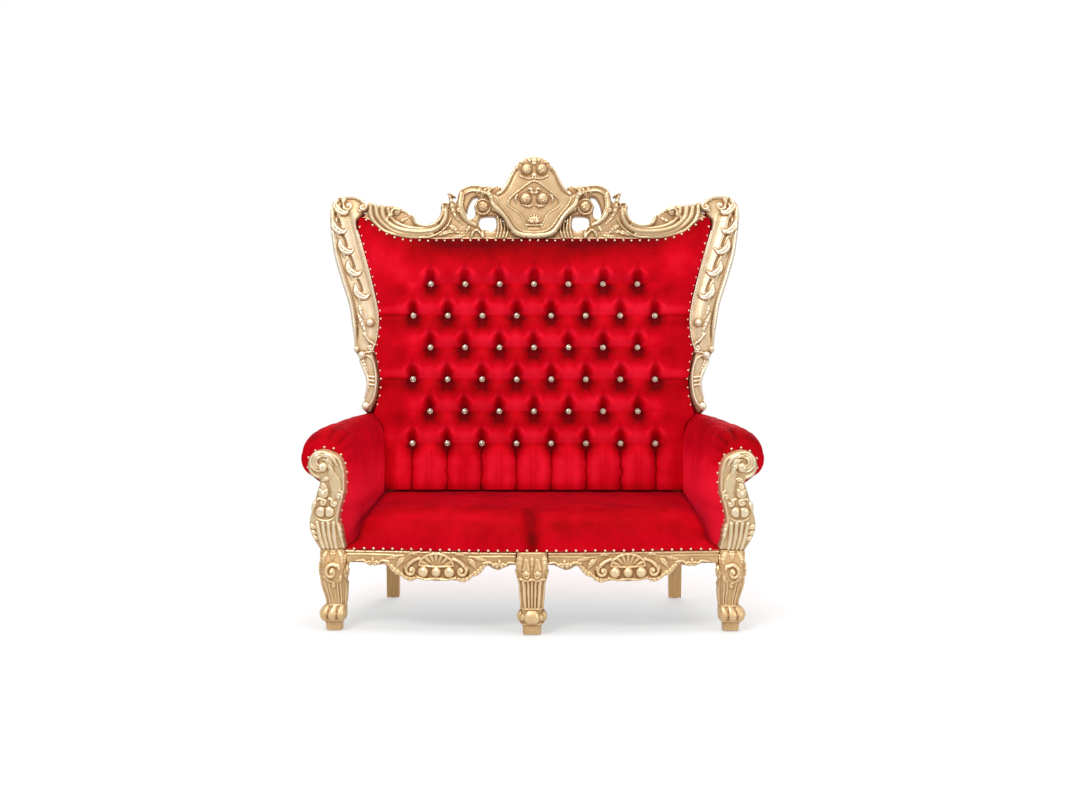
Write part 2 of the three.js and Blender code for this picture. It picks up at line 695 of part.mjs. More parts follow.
// Lower edge, end at the corner volute, and the upper S-moulding that falls to the crest.
const CREST_RAIL = [
  ...[...SWEEP_XS, 712].map((x) => [x, topEdge(x) + 4]), [690, 1574], [682, 1606],
  ...smooth([[672, 1614], [638, 1602], [597, 1602], [555, 1592], [512, 1572], [488, 1538], [440, 1525]], 9),
  [402, 1531], [388, 1530], [386, 1500], [107, 1500], [92, 1481.5], [62, 1473.8],
];

const CREST_SCROLL = [
  ...smooth([[386, 1533], [402, 1570], [383, 1602], [386, 1632], [345, 1655], [318, 1640]], 8),
  ...smooth([[300, 1664], [250, 1686], [200, 1686], [137, 1682]], 6),
  [146, 1667], [160, 1655], [178, 1658], [196, 1642], [186, 1600], [177, 1580], [150, 1563], [127, 1538],
  [109, 1506], [108, 1500.4], [385, 1500.4],
];
const SCROLL_OPENINGS = [
  { x: 253, height: 1594, radiusX: 20, radiusZ: 40 },
  { x: 191, height: 1530, radiusX: 33, radiusZ: 23 },
];

// The shield in the middle of the crest: bottom, hips, pointed ears, and sides up to the dome.
const CARTOUCHE = [
  [60, 1475.3], [90, 1486], [107, 1510], [123, 1540], [146, 1566], [174, 1582], [182, 1606], [192, 1640],
  [176, 1652], [156, 1645], [140, 1664], [122, 1690], [106, 1719], [93, 1745], [77, 1768], [60, 1789],
  [30, 1806],
];

function crestScroll(side) {
  const openings = SCROLL_OPENINGS.map(({ x, height, radiusX, radiusZ }) => {
    const opening = new THREE.Path();
    return opening.absellipse(side * x, up(height), radiusX, radiusZ, 0, 2 * Math.PI);
  });
  return board(mirrored(reclined(CREST_SCROLL), side), CARVED.front, CARVED.rear, openings);
}

for (const [name, side] of Object.entries(SIDES)) {
  const carved = (outline) => board(mirrored(reclined(outline), side), CARVED.front, CARVED.rear);
  add(`back_border_upper_${name}`, carved(UPPER_BORDER), gilt, back);
  add(`back_border_lower_${name}`, carved(LOWER_BORDER), gilt, back);
  add(`corner_volute_${name}`, carved(CORNER_VOLUTE), gilt, back);
  add(`crest_scroll_${name}`, crestScroll(side), gilt, back);
}

const wholeOutline = (half) => [...half, ...mirrored(half, -1).reverse()];
add('crest_rail', board(reclined(wholeOutline(CREST_RAIL)), CARVED.front, CARVED.rear), gilt, back);
const domeTop = [0, 1810];
const cartouche = [...CARTOUCHE, domeTop, ...mirrored(CARTOUCHE, -1).reverse()];
add('crest_cartouche', board(reclined(cartouche), CARVED.front - 12, CARVED.rear), gilt, back);

// ---- Origin: on the floor under the middle of the settee ------------------------------

const extent = new THREE.Box3().setFromObject(throne);
throne.position.y = -(extent.min.y + extent.max.y) / 2;

export default throne;
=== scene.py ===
"""A baroque two-seat throne settee: carved gilt frame, tufted red velvet, crystal buttons.

Carvings are worked out in millimetres on flat faces: x from the middle, height above the floor.
A face is a height field, built from ridges, leaves, balls and scrolls, and then set in place on
the front of the settee or on its reclined back.
"""

import math

import bmesh
import bpy
import numpy as np
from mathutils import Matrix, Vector


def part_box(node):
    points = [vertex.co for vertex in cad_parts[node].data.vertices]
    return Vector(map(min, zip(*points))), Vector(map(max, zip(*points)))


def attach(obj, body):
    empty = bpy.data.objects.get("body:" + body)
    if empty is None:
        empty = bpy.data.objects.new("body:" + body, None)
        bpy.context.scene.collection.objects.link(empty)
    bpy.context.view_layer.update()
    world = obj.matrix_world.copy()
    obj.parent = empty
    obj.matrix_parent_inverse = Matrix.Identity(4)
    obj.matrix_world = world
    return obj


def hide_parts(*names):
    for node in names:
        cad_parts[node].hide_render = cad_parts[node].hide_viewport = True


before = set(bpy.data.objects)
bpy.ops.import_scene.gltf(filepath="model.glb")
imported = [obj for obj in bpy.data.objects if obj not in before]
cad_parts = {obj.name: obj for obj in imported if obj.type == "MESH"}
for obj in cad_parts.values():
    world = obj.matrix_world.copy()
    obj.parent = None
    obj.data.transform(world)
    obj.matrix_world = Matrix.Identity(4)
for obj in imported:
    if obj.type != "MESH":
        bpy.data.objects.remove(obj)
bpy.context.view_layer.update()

MM = 0.001
RNG = np.random.default_rng(7)  # for the small scatter of the nails

# ---- Places, shared with the frame -------------------------------------------------------

FRONT_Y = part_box("arm_facing_left")[0].y / MM  # the plane that depths are measured from
LEAN = math.radians(7.5)
PIVOT_DEPTH = 612  # the back leans from this depth
PIVOT_HEIGHT = 350  # and this height
CARVED_REAR = 6  # rear of the carved boards, square to the back
RAIL_TOP = 304  # top of the seat rails
LEG_INNER = 684  # inner face of a corner leg


def on_front(x, depth, height):
    """A point by its depth behind the arm facings' front."""
    return np.stack([x * MM, (FRONT_Y + depth) * MM, height * MM], -1)


def on_back(x, depth, height):
    """A point in the reclined back, by its depth square to the back."""
    up = (height - PIVOT_HEIGHT) / math.cos(LEAN)
    y = FRONT_Y + PIVOT_DEPTH + depth * math.cos(LEAN) + up * math.sin(LEAN)
    z = PIVOT_HEIGHT + up * math.cos(LEAN) - depth * math.sin(LEAN)
    return np.stack([x * MM, y * MM, z * MM], -1)


def front_rail_depth(x):
    """Front face of the bowed seat rail."""
    reach = np.clip(np.abs(x) / LEG_INNER, 0, 1)
    return 4 - 52 * np.cos(reach * math.pi / 2) ** 1.5


def top_edge(x):
    """Height of the upholstery's top edge, which sweeps up to the corners."""
    return 1463 + 88 * np.clip((np.abs(x) - 490) / 200, 0, 1) ** 2.2


UPHOLSTERY = np.array([
    (440, 606), (600, 607), (670, 609), (700, 613), (722, 624), (740, 642), (752, 651), (820, 634),
    (890, 627), (960, 639), (1007, 652), (1060, 638), (1130, 632), (1190, 639), (1250, 651), (1310, 667),
    (1380, 688), (1440, 704), (1500, 720), (1525, 724), (1551, 718),
], float)


def half_width(height):
    """Half width of the back's upholstery at a height."""
    return np.interp(height, UPHOLSTERY[:, 0], UPHOLSTERY[:, 1])


def bell(distance, width):
    """1 at no distance, falling smoothly to almost nothing at twice the width."""
    return np.exp(-((distance / width) ** 2))


def quarter(q):
    """A pillow's cross-section: rises steeply from a seam and flattens."""
    return np.sqrt(1 - (1 - np.clip(q, 0, 1)) ** 2)


# ---- Curves ------------------------------------------------------------------------------


def smooth_path(points, step=3.0, closed=False):
    """Catmull-Rom curve through the points, with a point about every `step` millimetres."""
    p = np.array(points, float)
    if closed:
        p = np.vstack([p[-1], p, p[0], p[1]])
    else:
        p = np.vstack([2 * p[0] - p[1], p, 2 * p[-1] - p[-2]])
    out = []
    for a, b, c, d in zip(p[:-3], p[1:-2], p[2:-1], p[3:]):
        n = max(2, int(np.linalg.norm(c - b) / step))
        t = np.linspace(0, 1, n, endpoint=False)[:, None]
        low_order = 2 * b + (c - a) * t + (2 * a - 5 * b + 4 * c - d) * t**2
        out.append(0.5 * (low_order + (3 * b - a - 3 * c + d) * t**3))
    if not closed:
        out.append(p[-2:-1])
    return np.vstack(out)


def spiral(centre, radius, start, turns, inner=0.25, count=28):
    """Points of a scroll that winds in from `radius`; turns above 0 wind anticlockwise."""
    t = np.linspace(0, 1, count)
    angle = math.radians(start) + turns * 2 * math.pi * t
    r = radius * (1 - (1 - inner) * t**0.8)
    return [(centre[0] + a, centre[1] + b) for a, b in zip(r * np.cos(angle), r * np.sin(angle))]


def arc(centre, radius_x, radius_z, start, end, count=14):
    angle = np.radians(np.linspace(start, end, count))
    return [(centre[0] + radius_x * math.cos(a), centre[1] + radius_z * math.sin(a)) for a in angle]


# ---- Carved faces ------------------------------------------------------------------------

GROOVE_WIDTH = 2.2


def cove(r):
    """Hollow in the middle, with a rounded lip."""
    lip = np.sqrt(np.clip(1 - ((r - 0.78) / 0.22) ** 2, 0, 1))
    return np.where(r < 0.78, 0.35 + 0.65 * (r / 0.78) ** 2, lip)


# Height of a band's cross-section, r from 0 in its middle to 1 at its edge.
PROFILES = {
    "round": lambda r: np.sqrt(1 - r**2),
    "cove": cove,
    "leaf": lambda r: np.sqrt(1 - r**2) * (1 - 0.45 * bell(r, 0.16)),
    "flat": lambda r: np.sqrt(np.clip(1 - np.clip((r - 0.6) / 0.4, 0, 1) ** 2, 0, 1)),
}


def blur(field, radius):
    """Gaussian blur, radius in grid steps."""
    n = int(radius * 3) + 1
    kernel = np.exp(-0.5 * (np.arange(-n, n + 1) / radius) ** 2)
    kernel /= kernel.sum()
    padded = np.pad(field, n, mode="edge")
    rows = sum(w * padded[:, i : i + field.shape[1]] for i, w in enumerate(kernel))
    return sum(w * rows[i : i + field.shape[0]] for i, w in enumerate(kernel))


class Relief:
    """A carved face: heights in millimetres over a grid, and how far inside the outline it is."""

    def __init__(self, low, high, level, pitch=2.0):
        self.x = np.arange(low[0], high[0] + pitch / 2, pitch)
        self.z = np.arange(low[1], high[1] + pitch / 2, pitch)
        self.pitch = pitch
        self.level = level
        self.inside = np.full((len(self.z), len(self.x)), -1e3)
        self.height = np.full_like(self.inside, level, dtype=float)
        self.tint = np.zeros_like(self.inside)

    def window(self, path, reach):
        low, high = path.min(0) - reach, path.max(0) + reach
        i = np.searchsorted(self.x, low[0]), np.searchsorted(self.x, high[0])
        j = np.searchsorted(self.z, low[1]), np.searchsorted(self.z, high[1])
        return (slice(*j), slice(*i)), np.meshgrid(self.x[slice(*i)], self.z[slice(*j)])

    def trace(self, path, reach):
        """For the grid near a path: the window, distance to the path, and place along it."""
        where, (X, Z) = self.window(path, reach)
        best = np.full(X.shape, 1e6)
        along = np.zeros(X.shape)
        if not X.size:
            return where, best, along
        lengths = np.linalg.norm(np.diff(path, axis=0), axis=1)
        start = np.concatenate([[0], np.cumsum(lengths)])
        for a, b, length, s in zip(path[:-1], path[1:], lengths, start):
            if length < 1e-9:
                continue
            d = (b - a) / length
            t = np.clip((X - a[0]) * d[0] + (Z - a[1]) * d[1], 0, length)
            dist = np.hypot(X - a[0] - t * d[0], Z - a[1] - t * d[1])
            near = dist < best
            best[near] = dist[near]
            along[near] = (s + t[near]) / start[-1]
        return where, best, along

    def signed(self, outline, reach=12):
        """Distance inside a closed outline, over the part of the grid around it."""
        closed = np.vstack([outline, outline[:1]])
        where, dist, _ = self.trace(closed, reach)
        X, Z = np.meshgrid(self.x[where[1]], self.z[where[0]])
        odd = np.zeros(X.shape, bool)
        for (x0, z0), (x1, z1) in zip(closed[:-1], closed[1:]):
            if z0 != z1:
                odd ^= ((z0 > Z) != (z1 > Z)) & (X < (x1 - x0) * (Z - z0) / (z1 - z0) + x0)
        return where, np.where(odd, dist, -dist)

    def plate(self, outline):
        """The board itself: a closed outline, its face at the relief's level."""
        where, signed = self.signed(outline)
        self.inside[where] = np.maximum(self.inside[where], signed)

    def hole(self, outline):
        where, signed = self.signed(smooth_path(outline, 3, True))
        self.inside[where] = np.minimum(self.inside[where], -signed)

    def lower_area(self, outline, amount):
        """Sinks the ground inside an outline."""
        where, signed = self.signed(outline)
        self.height[where] -= amount * np.clip(signed / 4, 0, 1)

    def shade(self, centre, radius, amount):
        """Darkens the gilding over a round patch."""
        X, Z = np.meshgrid(self.x, self.z)
        dist = np.hypot(X - centre[0], Z - centre[1])
        self.tint -= amount * np.clip((radius - dist) / 3, 0, 1)

    def sink(self, path, width, depth, glaze_and_painted_shadow=0.0):
        """A groove along a path, with painted shadow darkening the gilding in it."""
        path = smooth_path(path, self.pitch * 1.5)
        where, dist, _ = self.trace(path, width * 2.5)
        self.height[where] -= depth * bell(dist, width)
        # Painted shadow along the groove.
        self.tint[where] -= glaze_and_painted_shadow * bell(dist, width)

    def ridge(self, path, width, height, profile="round", taper=(1, 1), lobes=0, spread=True, base=None,
              groove=1.3):
        """A raised band along a path: half width, height above the level, cross-section.

        taper gives the width's factor at even places along the path; lobes scallop a leaf;
        spread lets the band reach past the board's outline; groove is cut along both edges.
        """
        path = smooth_path(path, self.pitch * 1.5)
        where, dist, t = self.trace(path, width + 8)
        if not dist.size:
            return
        w = width * np.interp(t, np.linspace(0, 1, len(taper)), taper)
        w = np.maximum(w, 0.6)
        if lobes:
            wave = np.abs(np.sin(math.pi * (lobes * t - 0.45 * np.minimum(dist / w, 1))))
            w = w * (0.72 + 0.28 * wave**0.7)
        r = dist / w
        on = r < 1
        shape = np.zeros(dist.shape)
        shape[on] = PROFILES[profile](r[on])
        if lobes:
            shape *= 0.78 + 0.22 * wave
        full = np.clip(w / width, 0.35, 1)
        base = self.level if base is None else base
        field = self.height[where]
        field -= groove * bell(dist - w, GROOVE_WIDTH) * (r > 0.9)
        raised = base + height * full * shape - 1.0 * (1 - shape)
        self.height[where] = np.where(on, np.maximum(field, raised), field)
        if spread:
            self.inside[where] = np.maximum(self.inside[where], w - dist)

    def leaf(self, path, width, height, lobes=5, taper=(0.35, 1, 0.9, 0.55, 0.12), **more):
        self.ridge(path, width, height, "leaf", taper, lobes, **more)

    def scroll(self, centre, radius, start, turns, width, height, lead=(), inner=0.28, **more):
        """A band that runs along `lead` and winds into a spiral with a ball for its eye."""
        path = list(lead) + spiral(centre, radius, start, turns, inner)
        self.ridge(path, width, height, "round", (0.8, 1, 0.9, 0.6), **more)
        self.ball(centre, radius * 0.36, height * 1.15)

    def ball(self, centre, radius, height, base=None, spread=True):
        """A dome with a groove round it."""
        path = np.array([centre, (centre[0] + 0.01, centre[1])], float)
        where, dist, _ = self.trace(path, radius + 8)
        if not dist.size:
            return
        base = self.level if base is None else base
        field = self.height[where]
        field -= 1.3 * bell(dist - radius, GROOVE_WIDTH) * (dist > radius * 0.9)
        on = dist < radius
        dome = base + height * np.sqrt(np.clip(1 - (dist / radius) ** 2, 0, 1))
        self.height[where] = np.where(on, np.maximum(field, dome), field)
        if spread:
            self.inside[where] = np.maximum(self.inside[where], radius - dist)

    def fan(self, centre, radius, start, end, ribs, height, inner):
        """A shell: ribs that spread from a point."""
        width = radius * math.radians(abs(end - start)) / ribs * 0.42
        for angle in np.radians(np.linspace(start, end, ribs)):
            d = np.array([math.cos(angle), math.sin(angle)])
            tip = np.array(centre) + d * radius
            root = np.array(centre) + d * radius * inner
            self.ridge([root, (root + tip) / 2, tip], width, height, "round", (0.35, 0.8, 1), groove=2.0)

    def mirrored(self):
        """The same relief on both sides of x = 0; this one must start at x = 0."""
        both = Relief((0, 0), (1, 1), self.level, self.pitch)
        both.x = np.concatenate([-self.x[:0:-1], self.x])
        both.z = self.z
        both.inside = np.hstack([self.inside[:, :0:-1], self.inside])
        both.height = np.hstack([self.height[:, :0:-1], self.height])
        both.tint = np.hstack([self.tint[:, :0:-1], self.tint])
        return both

    def finished(self, rounding, lowest):
        """Heights with the edges rounded over, and the cavity map that the gilding reads."""
        soft = blur(self.height, 0.6)
        height = lowest + (soft - lowest) * quarter(self.inside / rounding) ** 0.8
        near, far = blur(soft, 3 / self.pitch), blur(soft, 10 / self.pitch)
        cavity = (soft - near) / 3.0 + (near - far) / 7.0
        return height, np.clip(0.5 + 0.5 * cavity + self.tint, 0, 1)


# ---- Meshes ------------------------------------------------------------------------------


def make_piece(name, points, faces, materials, smooth=True, cavity=None, painted_shade_and_sheen=None, parts=None):
    """A mesh object from points in metres. `parts` gives each face's material slot."""
    mesh = bpy.data.meshes.new(name)
    mesh.from_pydata(np.asarray(points, float).tolist(), [], [list(map(int, f)) for f in faces])
    for m in materials:
        mesh.materials.append(m)
    if parts is not None:
        mesh.polygons.foreach_set("material_index", np.asarray(parts, np.int32))
    mesh.polygons.foreach_set("use_smooth", np.full(len(mesh.polygons), smooth))
    # Point layers: the gilding's cavity map with its painted shadows, and the velvet's painted shade and
    # sheen.
    for field, values in (("cavity", cavity), ("painted_shade_and_sheen", painted_shade_and_sheen)):
        if values is not None:
            layer = mesh.attributes.new(field, "FLOAT", "POINT")
            layer.data.foreach_set("value", np.asarray(values, np.float32))
    mesh.update()
    piece = bpy.data.objects.new(name, mesh)
    bpy.context.scene.collection.objects.link(piece)
    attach(piece, "root")
    return piece


def carve(name, relief, place, material, keep=None, rounding=9.0, lowest=14.0, side=1):
    """A carved board from a relief: face, edges and a flat rear. `keep` limits it to a region."""
    height, cavity = relief.finished(rounding, lowest)
    X, Z = np.meshgrid(relief.x, relief.z)
    inside = relief.inside if keep is None else np.minimum(relief.inside, keep(X, Z))
    solid = inside > 0
    cells = solid[:-1, :-1] | solid[1:, :-1] | solid[:-1, 1:] | solid[1:, 1:]
    used = np.zeros(solid.shape, bool)
    for j in (0, 1):
        for i in (0, 1):
            used[j : j + cells.shape[0], i : i + cells.shape[1]] |= cells
    # Corners outside the outline are pulled back onto it.
    dz, dx = np.gradient(inside, relief.pitch)
    steep = np.maximum(dx**2 + dz**2, 0.25)
    pull = np.where(inside < 0, np.clip(-inside, 0, 2.2 * relief.pitch) / steep, 0)
    X, Z = (X + dx * pull)[used], (Z + dz * pull)[used]
    count = len(X)
    number = np.full(solid.shape, -1)
    number[used] = np.arange(count)
    jj, ii = np.nonzero(cells)
    quads = np.stack([number[jj, ii], number[jj, ii + 1], number[jj + 1, ii + 1], number[jj + 1, ii]], -1)
    padded = np.pad(cells, 1)
    walls = []
    for (dj, di), (a, b) in {(-1, 0): (0, 1), (0, 1): (1, 2), (1, 0): (2, 3), (0, -1): (3, 0)}.items():
        neighbour = padded[1 + dj : padded.shape[0] - 1 + dj, 1 + di : padded.shape[1] - 1 + di]
        walls.append(quads[~neighbour[jj, ii]][:, [a, b]])
    walls = np.vstack(walls)
    walls = np.stack([walls[:, 1], walls[:, 0], walls[:, 0] + count, walls[:, 1] + count], -1)
    points = np.vstack([place(side * X, height[used], Z), place(side * X, np.zeros(count), Z)])
    faces = np.vstack([quads, quads[:, ::-1] + count, walls])
    if side < 0:
        faces = faces[:, ::-1]
    shade = np.concatenate([cavity[used], np.full(count, 0.45)])
    return make_piece(name, points, faces, [material], cavity=shade)


def grid_faces(rows, columns, wrap=False):
    """Quads over a grid of points numbered row by row; wrap joins the last column to the first."""
    n = columns if wrap else columns - 1
    j, i = np.meshgrid(np.arange(rows - 1), np.arange(n), indexing="ij")
    k = (i + 1) % columns
    low, high = j * columns, (j + 1) * columns
    return np.stack([low + i, low + k, high + k, high + i], -1).reshape(-1, 4)


def outward(piece, merge=False):
    """Turns every face of a closed mesh outwards, after merging points that coincide if asked."""
    bm = bmesh.new()
    bm.from_mesh(piece.data)
    if merge:
        bmesh.ops.remove_doubles(bm, verts=bm.verts, dist=0.00005)
    bmesh.ops.recalc_face_normals(bm, faces=bm.faces)
    bm.to_mesh(piece.data)
    bm.free()


# ---- Materials ---------------------------------------------------------------------------


class Nodes:
    """Short calls to build a material's node tree."""

    def __init__(self, name, **sockets):
        self.material = bpy.data.materials.new(name)
        self.material.use_nodes = True
        self.tree = self.material.node_tree
        self.shader = self.tree.nodes["Principled BSDF"]
        for key, value in sockets.items():
            self.shader.inputs[key.replace("_", " ")].default_value = value

    def add(self, kind, inputs=None, **settings):
        node = self.tree.nodes.new("ShaderNode" + kind)
        for key, value in settings.items():
            setattr(node, key, value)
        for key, value in (inputs or {}).items():
            if isinstance(value, bpy.types.NodeSocket):
                self.tree.links.new(value, node.inputs[key])
            else:
                node.inputs[key].default_value = value
        return node

    def link(self, output, socket):
        self.tree.links.new(output, self.shader.inputs[socket])

    def place(self, scale=(1, 1, 1)):
        """Object coordinates, stretched."""
        at = self.add("TexCoord").outputs["Object"]
        return self.add("Mapping", {"Vector": at, "Scale": scale}).outputs["Vector"]

    def noise(self, scale, detail=4.0, stretch=(1, 1, 1), roughness=0.5):
        inputs = {"Vector": self.place(stretch), "Scale": scale, "Detail": detail, "Roughness": roughness}
        return self.add("TexNoise", inputs).outputs["Fac"]

    def ramp(self, value, stops):
        """Colours at places from 0 to 1."""
        node = self.add("ValToRGB", {"Fac": value})
        elements = node.color_ramp.elements
        while len(elements) < len(stops):
            elements.new(0.5)
        for element, (at, colour) in zip(elements, stops):
            element.position = at
            element.color = (*colour, 1)
        return node.outputs["Color"]

    def map(self, value, low, high, to_low, to_high):
        inputs = {"Value": value, "From Min": low, "From Max": high, "To Min": to_low, "To Max": to_high}
        return self.add("MapRange", inputs).outputs["Result"]

    def mix(self, factor, a, b, blend="MIX"):
        node = self.add("Mix", data_type="RGBA", blend_type=blend)
        for index, value in ((0, factor), (6, a), (7, b)):
            if isinstance(value, bpy.types.NodeSocket):
                self.tree.links.new(value, node.inputs[index])
            else:
                node.inputs[index].default_value = value if index == 0 else (*value, 1)
        return node.outputs[2]

    def bump(self, height, strength, distance):
        node = self.add("Bump", {"Height": height, "Strength": strength, "Distance": distance})
        self.link(node.outputs["Normal"], "Normal")


def gilding(name, glaze_and_painted_shadow, mid, bright, worn, carved=True):
    """Antique gold: bright on the ridges, brown in the recesses from real toning and painted shade, finely
    streaked and mottled.
    """
    m = Nodes(name, Metallic=0.5, Specular_IOR_Level=0.5, Coat_Weight=0.15, Coat_Roughness=0.2)
    mottle = m.map(m.noise(30, 5), 0.3, 0.7, -0.08, 0.08)
    fine = m.noise(240, 3)
    # Cavity map: brown glaze and painted shade in the recesses, with the painted groove shadows included.
    cavity = m.add("Attribute", attribute_name="cavity").outputs["Fac"] if carved else 0.66
    shade = m.add("Math", {0: cavity, 1: mottle}, operation="ADD").outputs[0]
    colour = m.ramp(shade, [(0.08, glaze_and_painted_shadow), (0.36, mid), (0.58, bright), (0.85, worn)])
    colour = m.mix(m.map(fine, 0.35, 0.75, 0.0, 0.12), colour, mid, "MULTIPLY")
    m.link(colour, "Base Color")
    m.link(m.map(shade, 0.15, 0.8, 0.55, 0.3), "Roughness")
    m.bump(m.noise(160, 4), 0.10, 0.0012)
    return m.material


def plain_paint(name, colour, dark):
    """Plain timber with brownish gold paint, its grain just showing."""
    m = Nodes(name, Metallic=0.1, Specular_IOR_Level=0.3)
    grain = m.noise(30, 6, (5, 5, 0.5), 0.6)
    m.link(m.ramp(grain, [(0.3, dark), (0.7, colour)]), "Base Color")
    m.link(m.map(grain, 0.3, 0.7, 0.5, 0.36), "Roughness")
    m.bump(grain, 0.2, 0.0015)
    return m.material


def timber(name, light, dark, stretch):
    m = Nodes(name, Specular_IOR_Level=0.3)
    grain = m.noise(26, 7, stretch, 0.65)
    m.link(m.ramp(grain, [(0.3, dark), (0.72, light)]), "Base Color")
    m.link(m.map(grain, 0.3, 0.7, 0.85, 0.62), "Roughness")
    m.bump(grain, 0.3, 0.001)
    return m.material


def velvet(name):
    """Crushed red velvet with painted sheen and shade: slopes that face down are painted lighter, slopes
    that face up darker.
    """
    m = Nodes(name, Roughness=0.7, Specular_IOR_Level=0.03, Sheen_Weight=0.3, Sheen_Roughness=0.4,
              Sheen_Tint=(1.0, 0.02, 0.08, 1))
    facing = m.add("SeparateXYZ", {0: m.add("NewGeometry").outputs["Normal"]}).outputs["Z"]
    # Painted sheen and shade: lighter where the surface faces down, darker where it faces up.
    sheen_by_facing = m.map(facing, -0.8, 0.7, 0.95, 0.25)
    broad = m.map(m.noise(5.5, 3, (1, 1, 1.6), 0.55), 0.35, 0.65, -0.07, 0.07)
    streak = m.map(m.noise(19, 5, (1, 1, 0.45), 0.6), 0.3, 0.7, -0.07, 0.07)
    crease = m.add("Math", {0: broad, 1: streak}, operation="ADD").outputs[0]
    # Painted shade and sheen stored on the points: shade in the pits, folds and joins, sheen on the swells.
    stored_shade_and_sheen = m.add("Attribute", attribute_name="painted_shade_and_sheen").outputs["Fac"]
    streaks_and_painted_light = m.add("Math", {0: crease, 1: stored_shade_and_sheen}, operation="ADD").outputs[0]
    # Painted sheen and shade, with the random crushed streaks, pick the colour.
    painted_shade_and_sheen = m.add("Math", {0: sheen_by_facing, 1: streaks_and_painted_light}, operation="ADD").outputs[0]
    colour = m.ramp(painted_shade_and_sheen, [(0.0, (0.10, 0.0, 0.0008)), (0.28, (0.33, 0.0, 0.002)),
                          (0.6, (0.60, 0.0008, 0.009)), (1.0, (0.98, 0.012, 0.04))])
    pile = m.noise(900, 2)
    colour = m.mix(m.map(pile, 0.3, 0.7, 0.0, 0.15), colour, (0.30, 0.0, 0.002), "MIX")
    m.link(colour, "Base Color")
    m.bump(m.noise(620, 3), 0.2, 0.0008)
    return m.material


def woven(name, light, dark, scale):
    """A coarse plain weave."""
    m = Nodes(name, Roughness=0.95, Specular_IOR_Level=0.1)
    across = m.add("TexWave", {"Vector": m.place(), "Scale": scale, "Distortion": 0.6}, bands_direction="X")
    along = m.add("TexWave", {"Vector": m.place(), "Scale": scale, "Distortion": 0.6}, bands_direction="Y")
    threads = m.add("Math", {0: across.outputs["Fac"], 1: along.outputs["Fac"]}, operation="MULTIPLY")
    m.link(m.ramp(threads.outputs[0], [(0.1, dark), (0.6, light)]), "Base Color")
    m.bump(threads.outputs[0], 0.4, 0.001)
    return m.material


def crystal_glass():
    m = Nodes("crystal", Base_Color=(0.97, 0.93, 0.88, 1), Roughness=0.04, Metallic=0.35,
              Specular_IOR_Level=0.9, Coat_Weight=0.6, Coat_Roughness=0.02)
    tint = m.noise(300, 2)
    m.link(m.ramp(tint, [(0.3, (0.55, 0.42, 0.30)), (0.7, (0.95, 0.88, 0.78))]), "Base Color")
    return m.material


GOLD = gilding("antique_gold", (0.36, 0.19, 0.07), (0.64, 0.43, 0.22), (0.86, 0.67, 0.41),
               (0.97, 0.84, 0.61))
GOLD_PALE = gilding("antique_gold_pale", (0.38, 0.22, 0.095), (0.62, 0.44, 0.25), (0.78, 0.63, 0.43),
                    (0.90, 0.80, 0.62))
GOLD_CREST = gilding("antique_gold_crest", (0.30, 0.155, 0.055), (0.46, 0.28, 0.13), (0.61, 0.43, 0.235),
                     (0.76, 0.60, 0.38))
GOLD_DARK = gilding("antique_gold_dark", (0.36, 0.18, 0.07), (0.60, 0.37, 0.165), (0.81, 0.55, 0.28),
                    (0.94, 0.73, 0.44))
NAIL = gilding("nail_gold", (0.5, 0.35, 0.2), (0.6, 0.45, 0.27), (0.80, 0.62, 0.42), (0.92, 0.80, 0.62),
               False)
PAINT = plain_paint("painted_timber", (0.98, 0.62, 0.29), (0.84, 0.48, 0.20))
WOOD = timber("sawn_timber", (0.55, 0.37, 0.20), (0.36, 0.22, 0.10), (6, 0.6, 6))
PLY = timber("plywood", (0.62, 0.44, 0.26), (0.45, 0.29, 0.15), (0.8, 5, 5))
VELVET = velvet("red_velvet")
JUTE = woven("jute", (0.42, 0.28, 0.14), (0.16, 0.09, 0.04), 320)
LINING = woven("lining", (0.035, 0.032, 0.03), (0.008, 0.007, 0.007), 500)
FELT = woven("felt", (0.09, 0.08, 0.07), (0.03, 0.027, 0.024), 700)
CRYSTAL = crystal_glass()

SIDES = {"left": -1, "right": 1}

# ---- Carved arm facings ------------------------------------------------------------------

FACING_THICK = 60
APRON_THICK = 32
APRON_ENDS = (56.5, 683.6)  # beside the centre leg and beside a corner leg


